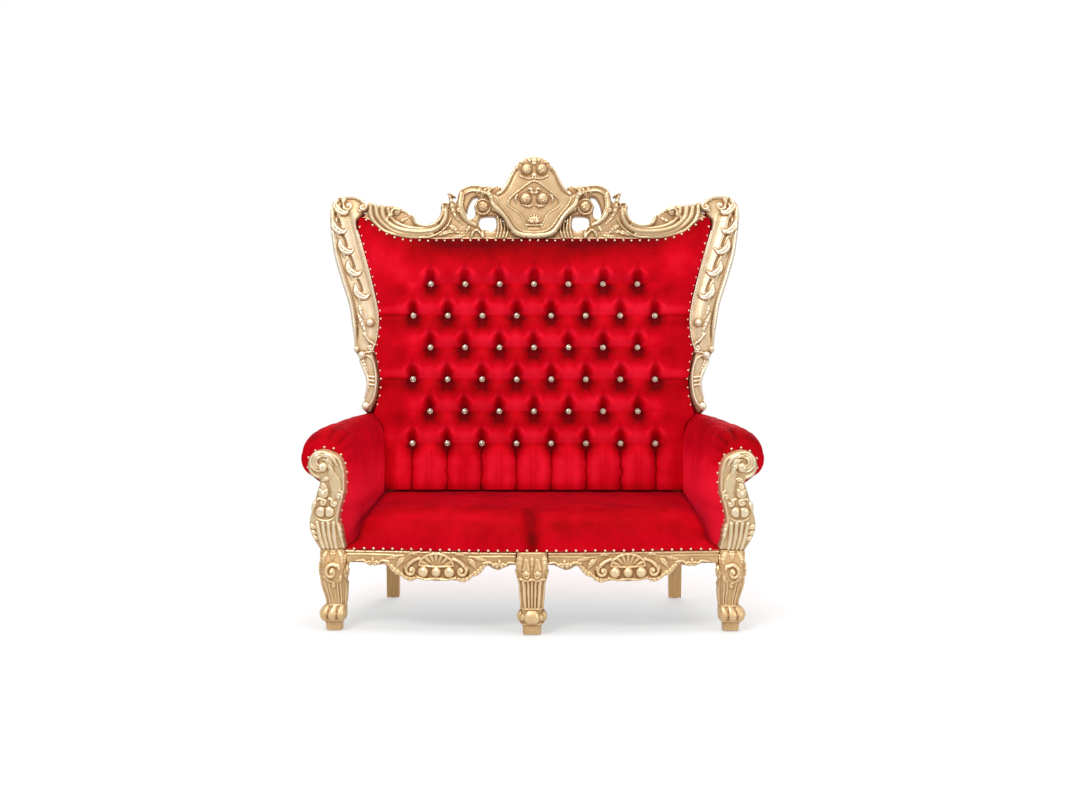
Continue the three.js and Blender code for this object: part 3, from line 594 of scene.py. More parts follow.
def facing_relief():
    r = Relief((672, 304.6), (836, 684), level=52)
    inner = [(680, 304), (690, 332), (703, 376), (707, 421), (698, 467), (684, 513), (683, 568)]
    volute = [(686, 602), (705, 646), (765, 670), (806, 654), (823, 614), (809, 576), (780, 562)]
    outer = [(777, 548), (789, 513), (799, 476), (815, 421), (818, 385), (807, 348), (780, 304)]
    r.plate(np.vstack([smooth_path(inner), smooth_path(volute), smooth_path(outer)]))
    # Outer bead, from the foot up the inner edge and round the volute.
    rim = [(690, 312), (697, 340), (711, 380), (714, 421), (705, 467), (692, 513), (690, 568), (694, 602),
           (712, 640), (762, 661), (800, 647), (814, 614), (803, 584), (782, 571)]
    r.ridge(rim, 5, 3, groove=0.8)
    # Volute: concentric folds on its outer side, three leaf tips that sweep inwards, and the curl.
    for radius in (18, 28, 38):
        r.ridge(arc((772, 628), radius, radius * 0.95, 105, -100), 6, 8, taper=(0.3, 1, 1, 0.9, 0.4),
                groove=1)
    for path in ([(776, 648), (752, 650), (728, 638), (712, 612)], [(764, 636), (744, 630), (727, 612)],
                 [(758, 624), (742, 612), (732, 592), (730, 570)]):
        r.ridge(path, 9, 9, "leaf", (0.3, 1, 0.9, 0.3), groove=1.5)
    r.ball((766, 607), 17, 10)
    r.ridge(spiral((766, 607), 12, 100, -0.8, 0.2), 4, 13, taper=(0.4, 1, 0.5), spread=False)
    # Smooth throat under the volute, then the oval cartouche.
    r.ridge([(736, 588), (722, 552), (718, 520), (728, 494)], 21, 5, "round", (0.6, 1, 1, 0.5), groove=1)
    r.ridge([(764, 512), (764, 526), (764, 540)], 20, 9, "round", (1, 0.95, 0.6), groove=2)
    r.ball((766, 511), 9, 14, spread=False)
    r.sink([(752, 530), (764, 524), (776, 532)], 3, 4)
    r.leaf([(742, 566), (760, 562), (774, 550)], 8, 7, 0)
    # Paired curls above the double boss.
    r.scroll((708, 498), 12, 200, -1.0, 5.5, 7, lead=[(706, 524), (697, 514)], groove=1)
    r.scroll((768, 478), 12, 140, 1.0, 6, 7, lead=[(788, 488), (779, 492)], groove=1)
    r.scroll((724, 474), 12, 60, -1.0, 6, 7, lead=[(744, 492), (734, 488)], groove=1)
    r.leaf([(794, 486), (803, 460), (808, 434)], 9, 7, 0, groove=1)
    for x in (744, 773):
        r.ball((x, 443), 20, 11)
    # Groove between the bosses, darkened with glaze and painted shade.
    r.sink([(758, 452), (759, 442), (759, 432)], 3, 5, 0.15)
    r.ridge(arc((758, 440), 40, 30, 190, 350, 14), 4, 6, taper=(0.3, 1, 0.3), groove=1)
    # Broad flutes that run down into the leg.
    for k in range(4):
        top, bottom = 788 - 20 * k, 763 - 15 * k
        r.ridge([(top, 402), ((top + bottom) / 2 + 3, 355), (bottom, 306)], 8.5, 7, "round", (0.8, 1, 0.85),
                groove=1)
    for x, z, radius in ((804, 388, 10), (802, 367, 9.5), (795, 347, 9)):
        r.ridge([(x + 6, z + 4), (x, z), (x - 8, z - 3)], radius, 7, "leaf", (0.8, 1, 0.6))
    r.leaf([(712, 408), (704, 376), (697, 340), (690, 312)], 9, 8, 5)
    return r


# ---- Carved border of the back and its corner volutes ------------------------------------

BORDER_SPLIT = 1538  # height where the border's upper length meets the corner volute
KNOB_SPLIT = 1006  # height where its two lengths meet
PANEL_FOOT = 1500  # height where the crest's scroll panels meet its rail
PANEL_END = 402
CUT = 0.2  # each side of a split


def border_relief():
    r = Relief((622, 752), (852, 1662), level=36)
    inner = [(668, 758), (641, 820), (633, 890), (645, 960), (658, 1007), (643, 1062), (637, 1130),
             (644, 1190), (672, 1310), (708, 1440), (727, 1500), (732, 1538), (722, 1552)]
    top = [(684, 1604), (700, 1630), (735, 1646), (775, 1648), (815, 1634), (837, 1606), (840, 1570)]
    outer = [(832, 1530), (822, 1490), (804, 1400), (774, 1300), (741, 1200), (724, 1100), (728, 1030),
             (738, 1012), (728, 1000), (704, 950), (679, 880), (690, 815), (704, 790), (690, 760)]
    r.plate(np.vstack([smooth_path(inner), smooth_path(top), smooth_path(outer)]))
    # The concave field, bright and smooth, between the outer roll and the inner bead: a painted highlight is
    # raised in its tint.
    field = [(662, 1040), (655, 1120), (664, 1190), (690, 1290), (722, 1400), (750, 1500), (768, 1560)]
    where, dist, _ = r.trace(smooth_path(field), 30)
    r.height[where] -= 9 * bell(dist, 15)
    r.tint[where] += 0.16 * bell(dist, 15)
    # Outer roll, over the top and into the volute.
    roll = [(731, 1030), (735, 1100), (751, 1200), (783, 1300), (812, 1400), (826, 1490), (832, 1560),
            (824, 1604), (796, 1632), (755, 1640), (722, 1632), (702, 1610), (704, 1588), (720, 1582)]
    r.ridge(roll, 11, 10, "round", (0.5, 1, 1, 1, 1, 1, 1, 1, 0.9, 0.6))
    r.ridge(smooth_path(inner[4:11], 20), 3.5, 5)
    r.ball((722, 1630), 10, 12)
    r.scroll((706, 1598), 20, 100, 1.0, 7, 12)
    r.scroll((766, 1604), 27, 60, -0.9, 8, 9, lead=[(812, 1540), (806, 1590), (788, 1622)])
    # Hooked husks down the roll, each tip pointing inwards.
    for x, z in ((790, 1580), (797, 1500), (769, 1417), (736, 1327), (703, 1232)):
        # Painted shadow in the groove down each husk's stem.
        r.sink([(x + 20, z + 66), (x + 9, z + 42), (x + 2, z + 20)], 5, 8, 0.32)
        r.leaf([(x + 30, z + 44), (x + 24, z + 14), (x + 6, z - 3), (x - 14, z - 6), (x - 28, z + 8)], 15,
               13, 0, taper=(0.3, 0.9, 1, 0.7, 0.15), groove=5)
        r.ridge([(x + 22, z + 20), (x + 15, z - 6), (x + 9, z - 32)], 8, 9, "leaf", (0.5, 1, 0.3))
    r.leaf([(716, 1190), (708, 1160), (694, 1136)], 8, 9, 3)
    r.ball((672, 1122), 15, 14)
    r.leaf([(722, 1160), (704, 1120), (692, 1088), (684, 1050)], 9, 9, 6)
    # Small volute where the border meets the waist, and the two knobs.
    r.scroll((668, 1022), 12, 200, 1.2, 5, 8, lead=[(700, 1080), (676, 1050), (656, 1034)])
    r.ball((727, 1015), 12.5, 16)
    r.ball((704, 989), 17, 18)
    r.ridge([(640, 1004), (664, 1004), (690, 1000)], 6, 7, "round", (0.4, 1, 0.8))
    # Lower C-scroll, ending in a ball.
    lower = [(688, 990), (664, 976), (650, 940), (645, 890), (651, 830), (668, 790), (684, 776)]
    r.ridge(lower, 5, 7, "round", (0.8, 1, 1, 1, 1))
    back_roll = [(712, 968), (698, 940), (682, 900), (680, 860), (690, 818)]
    r.ridge(back_roll, 8, 8, "round", (0.7, 1, 1, 0.7))
    r.leaf([(704, 986), (694, 952), (676, 920)], 9, 8, 5)
    for z in (868, 884, 900):
        r.ridge([(653, z), (675, z + 3)], 4, 5, spread=False)
    r.ball((688, 782), 18, 16)
    return r


# ---- Crest -------------------------------------------------------------------------------

CREST_SHIELD = [
    (-20, 1811), (0, 1811), (30, 1806), (60, 1789), (77, 1768), (93, 1745), (106, 1719), (122, 1690),
    (140, 1664), (156, 1645), (176, 1652), (192, 1640), (182, 1606), (174, 1582), (146, 1566), (123, 1540),
    (107, 1510), (90, 1486), (60, 1475), (0, 1470), (-20, 1470),
]


def crest_ground():
    return Relief((0, 1440), (720, 1830), level=36)


def crest_relief():
    r = crest_ground()
    # Moulded rail with its sweep up to the corner, and the scroll panel beside the cartouche.
    under = [(x, float(top_edge(x)) - 3) for x in (-20, 490, 540, 580, 615, 645, 670, 690, 712)]
    over = [(690, 1580), (672, 1614), (638, 1602), (597, 1602), (555, 1594), (516, 1574), (502, 1552),
            (485, 1537), (456, 1527), (423, 1531), (398, 1545), (380, 1500), (-20, 1500)]
    r.plate(under + over)
    r.plate([(136, 1680), (200, 1688), (262, 1684), (306, 1652), (322, 1620), (352, 1600), (372, 1560),
             (392, 1530), (386, 1490), (120, 1490), (140, 1560)])
    r.plate(CREST_SHIELD)
    r.ridge([(x, float(top_edge(x)) + 3) for x in np.linspace(0, 706, 30)], 5, 5)
    # Strands of the S-moulding, from the vertical neck at the corner to the curl at its head.
    r.ridge([(676, 1612), (669, 1556), (636, 1513), (597, 1490), (514, 1474), (450, 1472)], 10, 8,
            groove=0.6)
    r.ridge([(652, 1604), (642, 1556), (606, 1516), (555, 1491), (480, 1483), (420, 1486)], 11, 9,
            groove=0.6)
    r.ridge([(627, 1600), (619, 1556), (590, 1523), (547, 1503), (486, 1495), (425, 1499), (390, 1516),
             (368, 1550), (364, 1585)], 12, 11, groove=0.8)
    r.ridge([(600, 1600), (597, 1570), (575, 1538), (535, 1517), (490, 1509), (440, 1510), (404, 1524)], 9,
            9, groove=0.6)
    r.ridge([(500, 1560), (485, 1532), (456, 1520), (423, 1523), (394, 1540), (378, 1568), (374, 1600)], 10,
            10, groove=0.8)
    r.ridge([(343, 1546), (358, 1518), (388, 1492), (424, 1474), (470, 1470)], 4.5, 9)
    r.scroll((364, 1600), 17, -20, 1.0, 8, 12)
    r.scroll((568, 1574), 21, -30, 1.0, 8, 11, lead=[(604, 1532), (600, 1556)])
    r.leaf([(612, 1600), (572, 1594), (530, 1578), (506, 1556)], 11, 10, 5)
    r.leaf([(556, 1536), (530, 1546), (510, 1556)], 8, 7, 3)
    r.shade((577, 1549), 14, 0.25)
    carve_scroll_panel(r)
    carve_shield(r)
    return r


def carve_scroll_panel(r):
    """The pierced panel beside the cartouche."""
    # Leaves between the moulding and the velvet.
    for path in ([(404, 1478), (366, 1490), (330, 1496), (292, 1486)],
                 [(352, 1522), (326, 1506), (298, 1478)], [(338, 1470), (310, 1474), (276, 1482)]):
        r.leaf(path, 11, 9, 5)
    # Arched bar and inner C-scroll round the opening.
    r.ridge([(306, 1626), (298, 1654), (268, 1672), (234, 1674), (200, 1668)], 16, 9, "cove",
            (0.7, 1, 1, 0.9))
    r.leaf([(216, 1638), (204, 1658), (180, 1672), (150, 1684)], 14, 12, 5)
    r.leaf([(240, 1650), (226, 1668), (206, 1682)], 9, 9, 3)
    r.ridge([(300, 1650), (304, 1604), (291, 1562), (264, 1534), (240, 1522)], 13, 10, "round",
            (0.8, 1, 1, 0.6))
    r.ridge([(290, 1640), (294, 1602), (282, 1566), (258, 1544)], 3, 14, spread=False)
    r.scroll((309, 1585), 11, 200, 1.0, 4, 12)
    r.leaf([(354, 1654), (342, 1628), (337, 1596), (322, 1556), (292, 1522)], 12, 10, 7)
    r.leaf([(326, 1640), (340, 1650), (354, 1656)], 7, 9, 3)
    r.ridge([(209, 1470), (221, 1490), (236, 1501), (250, 1494), (257, 1476)], 6.5, 10)
    r.ridge([(222, 1520), (211, 1496), (208, 1470)], 5.5, 9)
    r.leaf([(262, 1520), (276, 1500), (280, 1480)], 9, 8, 3)
    # Dark rosette that hangs between the two openings.
    r.ridge(arc((211, 1597), 30, 30, 0, 360, 24), 5, 8)
    r.ball((211, 1597), 25, 17)
    for turn in (0, 120, 240):
        r.ridge(spiral((211, 1597), 22, turn, 0.45, 0.2), 4, 18, "round", (0.4, 1, 0.4), spread=False,
                groove=2)
    r.shade((211, 1597), 27, 0.22)
    # Ribs at the foot of the scroll panel.
    for k in range(4):
        x = 150 - 13 * k
        r.ridge([(x, 1556 - 10 * k), (x - 3, 1512 - 4 * k), (x + 5, 1470)], 5.5, 8)
    r.hole([(230, 1637), (250, 1635), (263, 1618), (272, 1596), (276, 1570), (271, 1551), (258, 1549),
            (245, 1560), (243, 1580), (248, 1601), (240, 1620)])
    r.hole([(226, 1540), (218, 1555), (186, 1559), (160, 1553), (157, 1514), (172, 1498), (188, 1502),
            (206, 1506), (222, 1520)])


def carve_shield(r):
    """The cartouche in the middle of the crest, raised above the scroll panels."""
    outline = crest_ground()
    outline.plate(CREST_SHIELD)
    on = outline.inside > 0
    r.height = np.where(on, r.level + 6 + 6 * quarter(outline.inside / 10), r.height)
    r.tint = np.where(on, 0, r.tint)
    face = r.level + 12
    more = {"base": face, "spread": False}
    # Plain band up the dome, then the moulding that runs down to the foot of the shield.
    r.ridge([(70, 1768), (86, 1744), (99, 1716), (114, 1686), (132, 1662), (150, 1648)], 7, 4, "flat",
            **more)
    r.sink([(64, 1752), (80, 1728), (92, 1704), (104, 1676), (122, 1652), (146, 1639)], 2.5, 3)
    r.ridge([(180, 1640), (166, 1603), (140, 1577), (117, 1548), (99, 1518), (80, 1494), (50, 1480),
             (0, 1475)],
            11, 7, "round", (0.7, 1, 1, 1, 1), **more)
    r.ridge([(152, 1630), (140, 1603), (120, 1578), (98, 1550), (79, 1520), (56, 1500), (32, 1492),
             (0, 1490)],
            3.5, 4, **more)
    r.leaf([(204, 1654), (188, 1650), (177, 1636), (168, 1612)], 13, 11, 4, base=face)
    # Six-sided frame with the lower bosses and the palmette.
    frame_line = [(-20, 1700), (0, 1700), (17, 1696), (60, 1664), (98, 1630), (106, 1606), (98, 1594),
                  (56, 1563), (36, 1524), (28, 1508), (-20, 1508)]
    r.lower_area(np.array(frame_line, float), 3)
    r.ridge(frame_line[1:10], 3.5, 3, **more)
    r.ridge([(0, 1520), (34, 1520)], 3, 4, "flat", **more)
    for x, z in ((31, 1749), (35, 1628)):
        r.ball((x, z), 24, 15, face - 2, spread=False)
        r.ridge(spiral((x, z), 17, 210, 0.7, 0.15), 4, 16, "round", (0.4, 1, 0.4), base=face, spread=False,
                groove=2)
        r.shade((x, z), 26, 0.2)
    for path in ([(2, 1764), (4, 1784), (4, 1804)], [(14, 1778), (24, 1792), (34, 1800)],
                 [(42, 1776), (56, 1780), (68, 1774)], [(66, 1768), (70, 1756), (62, 1744)],
                 [(2, 1734), (6, 1716), (2, 1698)], [(4, 1662), (18, 1670), (34, 1662)],
                 [(2, 1648), (12, 1656), (22, 1656)], [(66, 1648), (76, 1630), (72, 1608)],
                 [(6, 1602), (26, 1598), (52, 1604)]):
        r.leaf(path, 7, 8, 3, **more)
    r.ridge([(58, 1722), (31, 1712), (4, 1712)], 4, 5, **more)
    for angle in (90, 66, 44, 24):
        d = math.radians(angle)
        tip = (30 * math.cos(d), 1526 + 38 * math.sin(d))
        r.leaf([(2, 1528), ((2 + tip[0]) / 2, (1527 + tip[1]) / 2), tip], 7, 9, 3, taper=(0.5, 1, 0.8, 0.3),
               **more)


# ---- Carved front rail -------------------------------------------------------------------


def apron_relief():
    r = Relief((56, 186), (684, 306), level=26)
    lower = [(684, 254), (640, 258), (600, 251), (575, 245), (545, 250), (515, 238), (484, 216), (440, 200),
             (400, 196), (350, 192), (300, 196), (262, 195), (222, 213), (190, 240), (160, 252), (140, 240),
             (122, 236), (98, 246), (76, 256), (57, 258)]
    r.plate([(57, RAIL_TOP), (684, RAIL_TOP)] + lower)
    r.ridge([(57, 299), (200, 299), (450, 299), (684, 299)], 5, 4)
    r.ridge([(57, 287), (120, 287), (230, 284)], 3, 3, spread=False)
    r.ridge([(470, 284), (580, 287), (684, 287)], 3, 3, spread=False)
    # Broad shell: fan panel with an arched rim over three balls.
    centre = 350
    r.ridge(arc((centre, 250), 62, 44, 0, 180, 20), 5, 8)
    r.fan((centre, 238), 56, 25, 155, 7, 5, inner=0.5)
    r.ridge([(centre - 60, 250), (centre, 246), (centre + 60, 250)], 4, 7)
    for x, radius in ((centre, 18.5), (centre - 48, 20.5), (centre + 48, 20.5)):
        r.ball((x, 227), radius, 17)
    r.ridge([(centre - 70, 206), (centre - 35, 199), (centre, 203), (centre + 35, 199), (centre + 70, 206)],
            6, 7)
    for side in (-1, 1):
        def at(x):
            return centre + side * x

        r.scroll((at(93), 232), 21, 90 - side * 60, -side * 1.0, 8, 11, lead=[(at(62), 276), (at(86), 266)])
        r.leaf([(at(70), 204), (at(98), 199), (at(128), 214), (at(146), 244)], 11, 9, 6)
        r.leaf([(at(72), 292), (at(90), 296), (at(106), 284)], 9, 10, 4)
        r.leaf([(at(118), 276), (at(134), 262), (at(148), 238)], 12, 10, 5)
        r.leaf([(at(122), 212), (at(150), 226), (at(176), 252), (at(204), 266)], 11, 8, 7)
        r.leaf([(at(136), 284), (at(166), 276), (at(196), 268)], 8, 6, 5)
        r.sink([(at(108), 250), (at(118), 232), (at(112), 214)], 4, 7)
    # Small paired curls between the shell and the legs.
    for x in (585, 118):
        for side in (-1, 1):
            r.scroll((x + side * 11, 252), 11, 90 - side * 90, side * 1.1, 4.5, 8,
                     lead=[(x + side * 62, 262), (x + side * 36, 266), (x + side * 24, 258)])
        r.leaf([(x, 276), (x, 262), (x, 248)], 7, 8, 3)
    return r


# ---- Carved legs -------------------------------------------------------------------------

LEG_X = 731
LEG_FACE_HALF = 46
CORNER_LEG_FRONT, CORNER_LEG_REAR = 10, 84
CENTRE_LEG_FRONT, CENTRE_LEG_REAR = -62, 20


def ring_radius(angle, half_wide, half_deep, power):
    """The point of a superellipse in the direction of an angle."""
    c, s = np.cos(angle), np.sin(angle)
    reach = (np.abs(c) ** power + np.abs(s) ** power) ** (-1 / power)
    return half_wide * reach * c, half_deep * reach * s


def carved_leg(name, sections, face, x, side, front, rear):
    """A leg: smooth sections from foot to rail, with the same carved face on all four sides.

    Each section is height, half width, half depth, offset outwards and squareness.
    """
    table = np.array(sections, float)
    heights = np.arange(table[0, 0], table[-1, 0] + 0.1, 1.9)
    around = 168
    angle = np.linspace(0, 2 * math.pi, around, endpoint=False)
    values = [np.interp(heights, table[:, 0], table[:, k]) for k in range(1, 5)]
    wide, deep, out, power = (blur(np.tile(v, (3, 1)), 3.2)[1][:, None] for v in values)
    px, py = ring_radius(angle[None], wide, deep, power)
    middle = (front + rear) / 2
    forward = np.maximum(0, deep - (rear - front) / 2)
    # Chart of each side: -1 to 1 across, scaled to the face's half width.
    turned = (angle + math.pi / 4) % (math.pi / 2) - math.pi / 4
    chart_x = np.broadcast_to(np.sin(turned) / math.sin(math.pi / 4) * LEG_FACE_HALF, px.shape)
    chart_x = chart_x * (1 if side > 0 else -1)
    height, cavity = face.finished(4, face.level)
    column = np.clip((chart_x - face.x[0]) / face.pitch, 0, len(face.x) - 1.001)
    row = np.clip((np.broadcast_to(heights[:, None], px.shape) - face.z[0]) / face.pitch, 0,
                  len(face.z) - 1.001)

    def sample(field):
        i, j = column.astype(int), row.astype(int)
        fx, fz = column - i, row - j
        low = field[j, i] * (1 - fx) + field[j, i + 1] * fx
        high = field[j + 1, i] * (1 - fx) + field[j + 1, i + 1] * fx
        return low * (1 - fz) + high * fz

    raised = sample(height) - face.level
    length = np.hypot(px, py)
    fade = np.clip((RAIL_TOP - heights[:, None]) / 6, 0, 1)
    scale = 1 + (raised * fade + 1.0) / length
    X = x + side * out + px * scale
    Y = middle - forward + py * scale
    Z = np.broadcast_to(heights[:, None], X.shape)
    points = on_front(X, Y, Z).reshape(-1, 3)
    faces = grid_faces(len(heights), around, wrap=True)
    shade = sample(cavity).reshape(-1)
    ends = [list(range(around))[::-1], list(range((len(heights) - 1) * around, len(heights) * around))]
    piece = make_piece(name, points, faces.tolist() + ends, [GOLD_DARK], cavity=shade)
    outward(piece)
    return piece


def corner_leg_face():
    r = Relief((-48, 0), (48, 306), level=20)
    r.inside[:] = 100
    more = {"spread": False}
    r.leaf([(0, 268), (0, 286), (0, 304)], 16, 6, 3, taper=(0.4, 1, 1), **more)
    for side in (-1, 1):
        r.leaf([(side * 26, 300), (side * 38, 274), (side * 40, 244)], 9, 6, 5, **more)
    r.scroll((4, 225), 30, 130, -1.35, 8, 10, lead=[(-30, 236), (-26, 246)], inner=0.22, **more)
    r.leaf([(38, 236), (32, 206), (10, 188), (-14, 192)], 9, 8, 5, **more)
    r.leaf([(-38, 214), (-34, 196), (-18, 184)], 8, 7, 4, **more)
    r.scroll((0, 174), 10, 90, 1.1, 4.5, 7, **more)
    for x in (-36, -22, 22, 36):
        r.ridge([(x, 196), (x * 0.92, 150), (x * 0.95, 100)], 5, 5, "round", (0.5, 1, 0.9), **more)
    r.ridge([(-6, 160), (-4, 130), (-6, 100)], 3, 3, "round", (0.4, 1, 0.6), **more)
    r.ridge([(-46, 97), (46, 97)], 4, 4, **more)
    for x in (-46, 0, 46):
        r.ridge([(x, 80), (x, 66), (x, 52)], 23, 8, "round", (0.85, 1, 0.85), **more)
    r.ridge([(-46, 40), (46, 40)], 4, 3, **more)
    return r


def centre_leg_face():
    r = Relief((-48, 0), (48, 306), level=20)
    r.inside[:] = 100
    more = {"spread": False}
    for x in (-22, 22):
        r.ridge([(x, 276), (x, 246), (x * 0.9, 214)], 15, 6, "leaf", (0.5, 1, 0.7), **more)
        r.ridge(arc((x, 240), 12, 26, 200, 340, 12), 3.5, 7, **more)
        r.ball((x, 230), 9, 10, spread=False)
    r.leaf([(0, 292), (0, 262), (0, 226)], 8, 7, 4, **more)
    for x in (-42, 42):
        r.leaf([(x, 296), (x, 262), (x, 224)], 8, 7, 4, **more)
    r.ridge([(-46, 208), (-22, 202), (0, 207), (22, 202), (46, 208)], 5, 6, **more)
    for x in (-36, -18, 0, 18, 36):
        r.ridge([(x, 198), (x * 0.97, 150), (x * 0.94, 104)], 7, 6, "round", (0.8, 1, 0.8), groove=4, **more)
    r.ridge([(-46, 98), (46, 98)], 4, 4, **more)
    r.ridge([(-13, 67), (0, 67), (13, 67)], 27, 12, **more)
    for x in (-46, 46):
        r.ball((x, 66), 13, 7, spread=False)
    r.ridge([(-46, 42), (46, 42)], 4, 3, **more)
    return r


CORNER_LEG_SECTIONS = [
    (3.3, 29, 28, 0, 5), (32, 30, 29, 0, 5), (42, 41, 39, 4, 3), (62, 44, 43, 5, 3), (84, 40, 39, 1, 3),
    (98, 33, 33, -9, 3), (121, 36, 35, -8, 3), (162, 44, 42, -3, 3), (199, 47, 48, 0, 3),
    (235, 46, 48, 0, 4), (300, 46, 37, 0, 6), (303.7, 46, 37, 0, 6),
]
CENTRE_LEG_SECTIONS = [
    (3.3, 32, 30, 0, 5), (34, 33, 31, 0, 5), (46, 40, 38, 0, 3), (66, 43, 41, 0, 3), (86, 40, 38, 0, 3),
    (98, 38, 37, 0, 4), (140, 40, 38, 0, 5), (185, 43, 39, 0, 5), (212, 50, 43, 0, 5), (250, 53, 43, 0, 6),
    (300, 53, 40, 0, 6), (303.7, 53, 40, 0, 6),
]

# ---- Building the carved frame -----------------------------------------------------------


def finish_piece(piece, slot, *nodes):
    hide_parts(*nodes)


def facing_place(x, height, z):
    return on_front(x, FACING_THICK - height, z)


def apron_place(x, height, z):
    return on_front(x, front_rail_depth(x) + APRON_THICK - height, z)


def back_place(x, height, z):
    return on_back(x, CARVED_REAR - height, z)


def build_border(name, side, border):
    """One side of the border in its three lengths."""
    regions = [
        ("lower", f"back_border_lower_{name}", GOLD_PALE, lambda X, Z: KNOB_SPLIT - CUT - Z),
        ("upper", f"back_border_upper_{name}", GOLD_PALE,
         lambda X, Z: np.minimum(Z - KNOB_SPLIT - CUT, BORDER_SPLIT - CUT - Z)),
        ("volute", f"corner_volute_{name}", GOLD, lambda X, Z: Z - BORDER_SPLIT - CUT),
    ]
    for part, node, gold, keep in regions:
        piece = carve(f"border_{part}_carving_{name}", border, back_place, gold, keep=keep, side=side)
        finish_piece(piece, "carved_gilt", node)


def build_carvings():
    facing, border, apron, crest = facing_relief(), border_relief(), apron_relief(), crest_relief()
    leg_face = corner_leg_face()
    shield = crest_ground()
    shield.plate(CREST_SHIELD)

    def scroll_keep(X, Z):
        return np.minimum(np.minimum(-shield.inside - CUT, Z - PANEL_FOOT - CUT), PANEL_END - X)

    for name, side in SIDES.items():
        piece = carve(f"facing_carving_{name}", facing, facing_place, GOLD, side=side, lowest=30)
        finish_piece(piece, "carved_gilt", f"arm_facing_{name}")
        piece = carve(f"apron_carving_{name}", apron, apron_place, GOLD_DARK, side=side, rounding=5,
                      lowest=12, keep=lambda X, Z: np.minimum(X - APRON_ENDS[0], APRON_ENDS[1] - X))
        finish_piece(piece, "carved_gilt_dark", f"seat_rail_front_{name}")
        build_border(name, side, border)
        piece = carve(f"crest_scroll_carving_{name}", crest, back_place, GOLD_CREST, keep=scroll_keep,
                      side=side)
        finish_piece(piece, "carved_gilt", f"crest_scroll_{name}")
        piece = carved_leg(f"leg_carving_{name}", CORNER_LEG_SECTIONS, leg_face, side * LEG_X, side,
                           CORNER_LEG_FRONT, CORNER_LEG_REAR)
        finish_piece(piece, "carved_gilt_dark", f"front_leg_{name}")
    piece = carved_leg("leg_carving_centre", CENTRE_LEG_SECTIONS, centre_leg_face(), 0, 1,
                       CENTRE_LEG_FRONT, CENTRE_LEG_REAR)
    finish_piece(piece, "carved_gilt_dark", "front_leg_centre")
    build_crest(crest.mirrored(), shield.mirrored().inside)


def build_crest(whole, in_shield):
    """The long rail, and the cartouche that is let into it."""

    def rail_keep(X, Z):
        off_panel = np.maximum(PANEL_FOOT - CUT - Z, np.abs(X) - PANEL_END - 2 * CUT)
        return np.minimum(-in_shield - CUT, off_panel)

    piece = carve("crest_rail_carving", whole, back_place, GOLD_CREST, keep=rail_keep)
    finish_piece(piece, "carved_gilt", "crest_rail")
    piece = carve("cartouche_carving", whole, back_place, GOLD_CREST, keep=lambda X, Z: in_shield)
    finish_piece(piece, "carved_gilt", "crest_cartouche")


build_carvings()

# ---- Upholstery --------------------------------------------------------------------------

PITCH = 141
ROW_SPACING = 129.5
TOP_ROW = 1281
PER_ROW = (7, 8, 7, 8, 7, 8)
BUTTONS = [
    (row, (k - (count - 1) / 2) * PITCH, TOP_ROW - row * ROW_SPACING)
    for row, count in enumerate(PER_ROW)
    for k in range(count)
]
BUTTON_DEPTH = 27  # of the velvet at a button, in front of the back's plane
BOTTOM_OF_BACK = 446


def pad_front(height_row, x_row):
    """Fullness of the plain cushion, in front of the back's plane."""
    edge = half_width(height_row)
    across = 1 - np.clip(np.abs(x_row) / edge, 0, 1) ** 4
    upward = 1 - np.clip((height_row - 1290) / 190, 0, 1) ** 2
    return 46 + 30 * across * upward


def seam_lines():
    """Folds of the tufting: start, end, depth at the start, in the middle and at the end, reach."""
    lines = []
    low = BUTTON_DEPTH
    by_row = [[(x, z) for row, x, z in BUTTONS if row == k] for k in range(len(PER_ROW))]
    for upper, lower in zip(by_row[:-1], by_row[1:]):
        for a in upper:
            for b in lower:
                if abs(a[0] - b[0]) < PITCH * 0.6:
                    lines.append((a, b, low, 66, low, 30))
    for row in by_row:
        for a, b in zip(row[:-1], row[1:]):
            lines.append((a, b, low, 56, low, 50))
        for x, z in row:
            lines.append(((x, z), (x, z + 62), low, 34, 72, 24))
    for x, z in by_row[5]:
        lines.append(((x, z), (x, BOTTOM_OF_BACK), low, 44, 44, 34))
    for row in (1, 3, 5):
        for side in (-1, 1):
            x, z = side * 493.5, by_row[row][0][1]
            lines.append(((x, z), (side * (half_width(z) + 4), z + 3), low, 50, 40, 46))
    return lines


def tufted_depth(X, Z):
    """How far the tufted velvet stands in front of the back's plane."""
    full = pad_front(Z, X)
    depth = full.copy()
    for (ax, az), (bx, bz), start, middle, end, reach in seam_lines():
        length = math.hypot(bx - ax, bz - az)
        dx, dz = (bx - ax) / length, (bz - az) / length
        span = length / 2 + reach
        near = (np.abs(X - (ax + bx) / 2) < span) & (np.abs(Z - (az + bz) / 2) < span)
        t = np.clip((X[near] - ax) * dx + (Z[near] - az) * dz, 0, length)
        dist = np.hypot(X[near] - ax - t * dx, Z[near] - az - t * dz)
        depths = (start, (start + 2 * middle) / 3, middle, (end + 2 * middle) / 3, end)
        seam = np.interp(t / length, (0, 0.12, 0.5, 0.88, 1), depths)
        rise = seam + (full[near] - seam) * np.sin(np.clip(dist / reach, 0, 1) * math.pi / 2) ** 0.9
        depth[near] = np.minimum(depth[near], np.minimum(rise, full[near]))
    for _, x, z in BUTTONS:
        near = (np.abs(X - x) < 70) & (np.abs(Z - z) < 70)
        dx, dz = X[near] - x, Z[near] - z
        r = np.hypot(dx, dz)
        angle = np.arctan2(dz, dx)
        folds = 2.6 * np.cos(7 * angle + 0.6 + x) * bell(r - 24, 15)
        pit = BUTTON_DEPTH - 3 + np.clip(r - 9, 0, None) * 1.7
        depth[near] = np.minimum(depth[near] + folds, pit)
    return depth


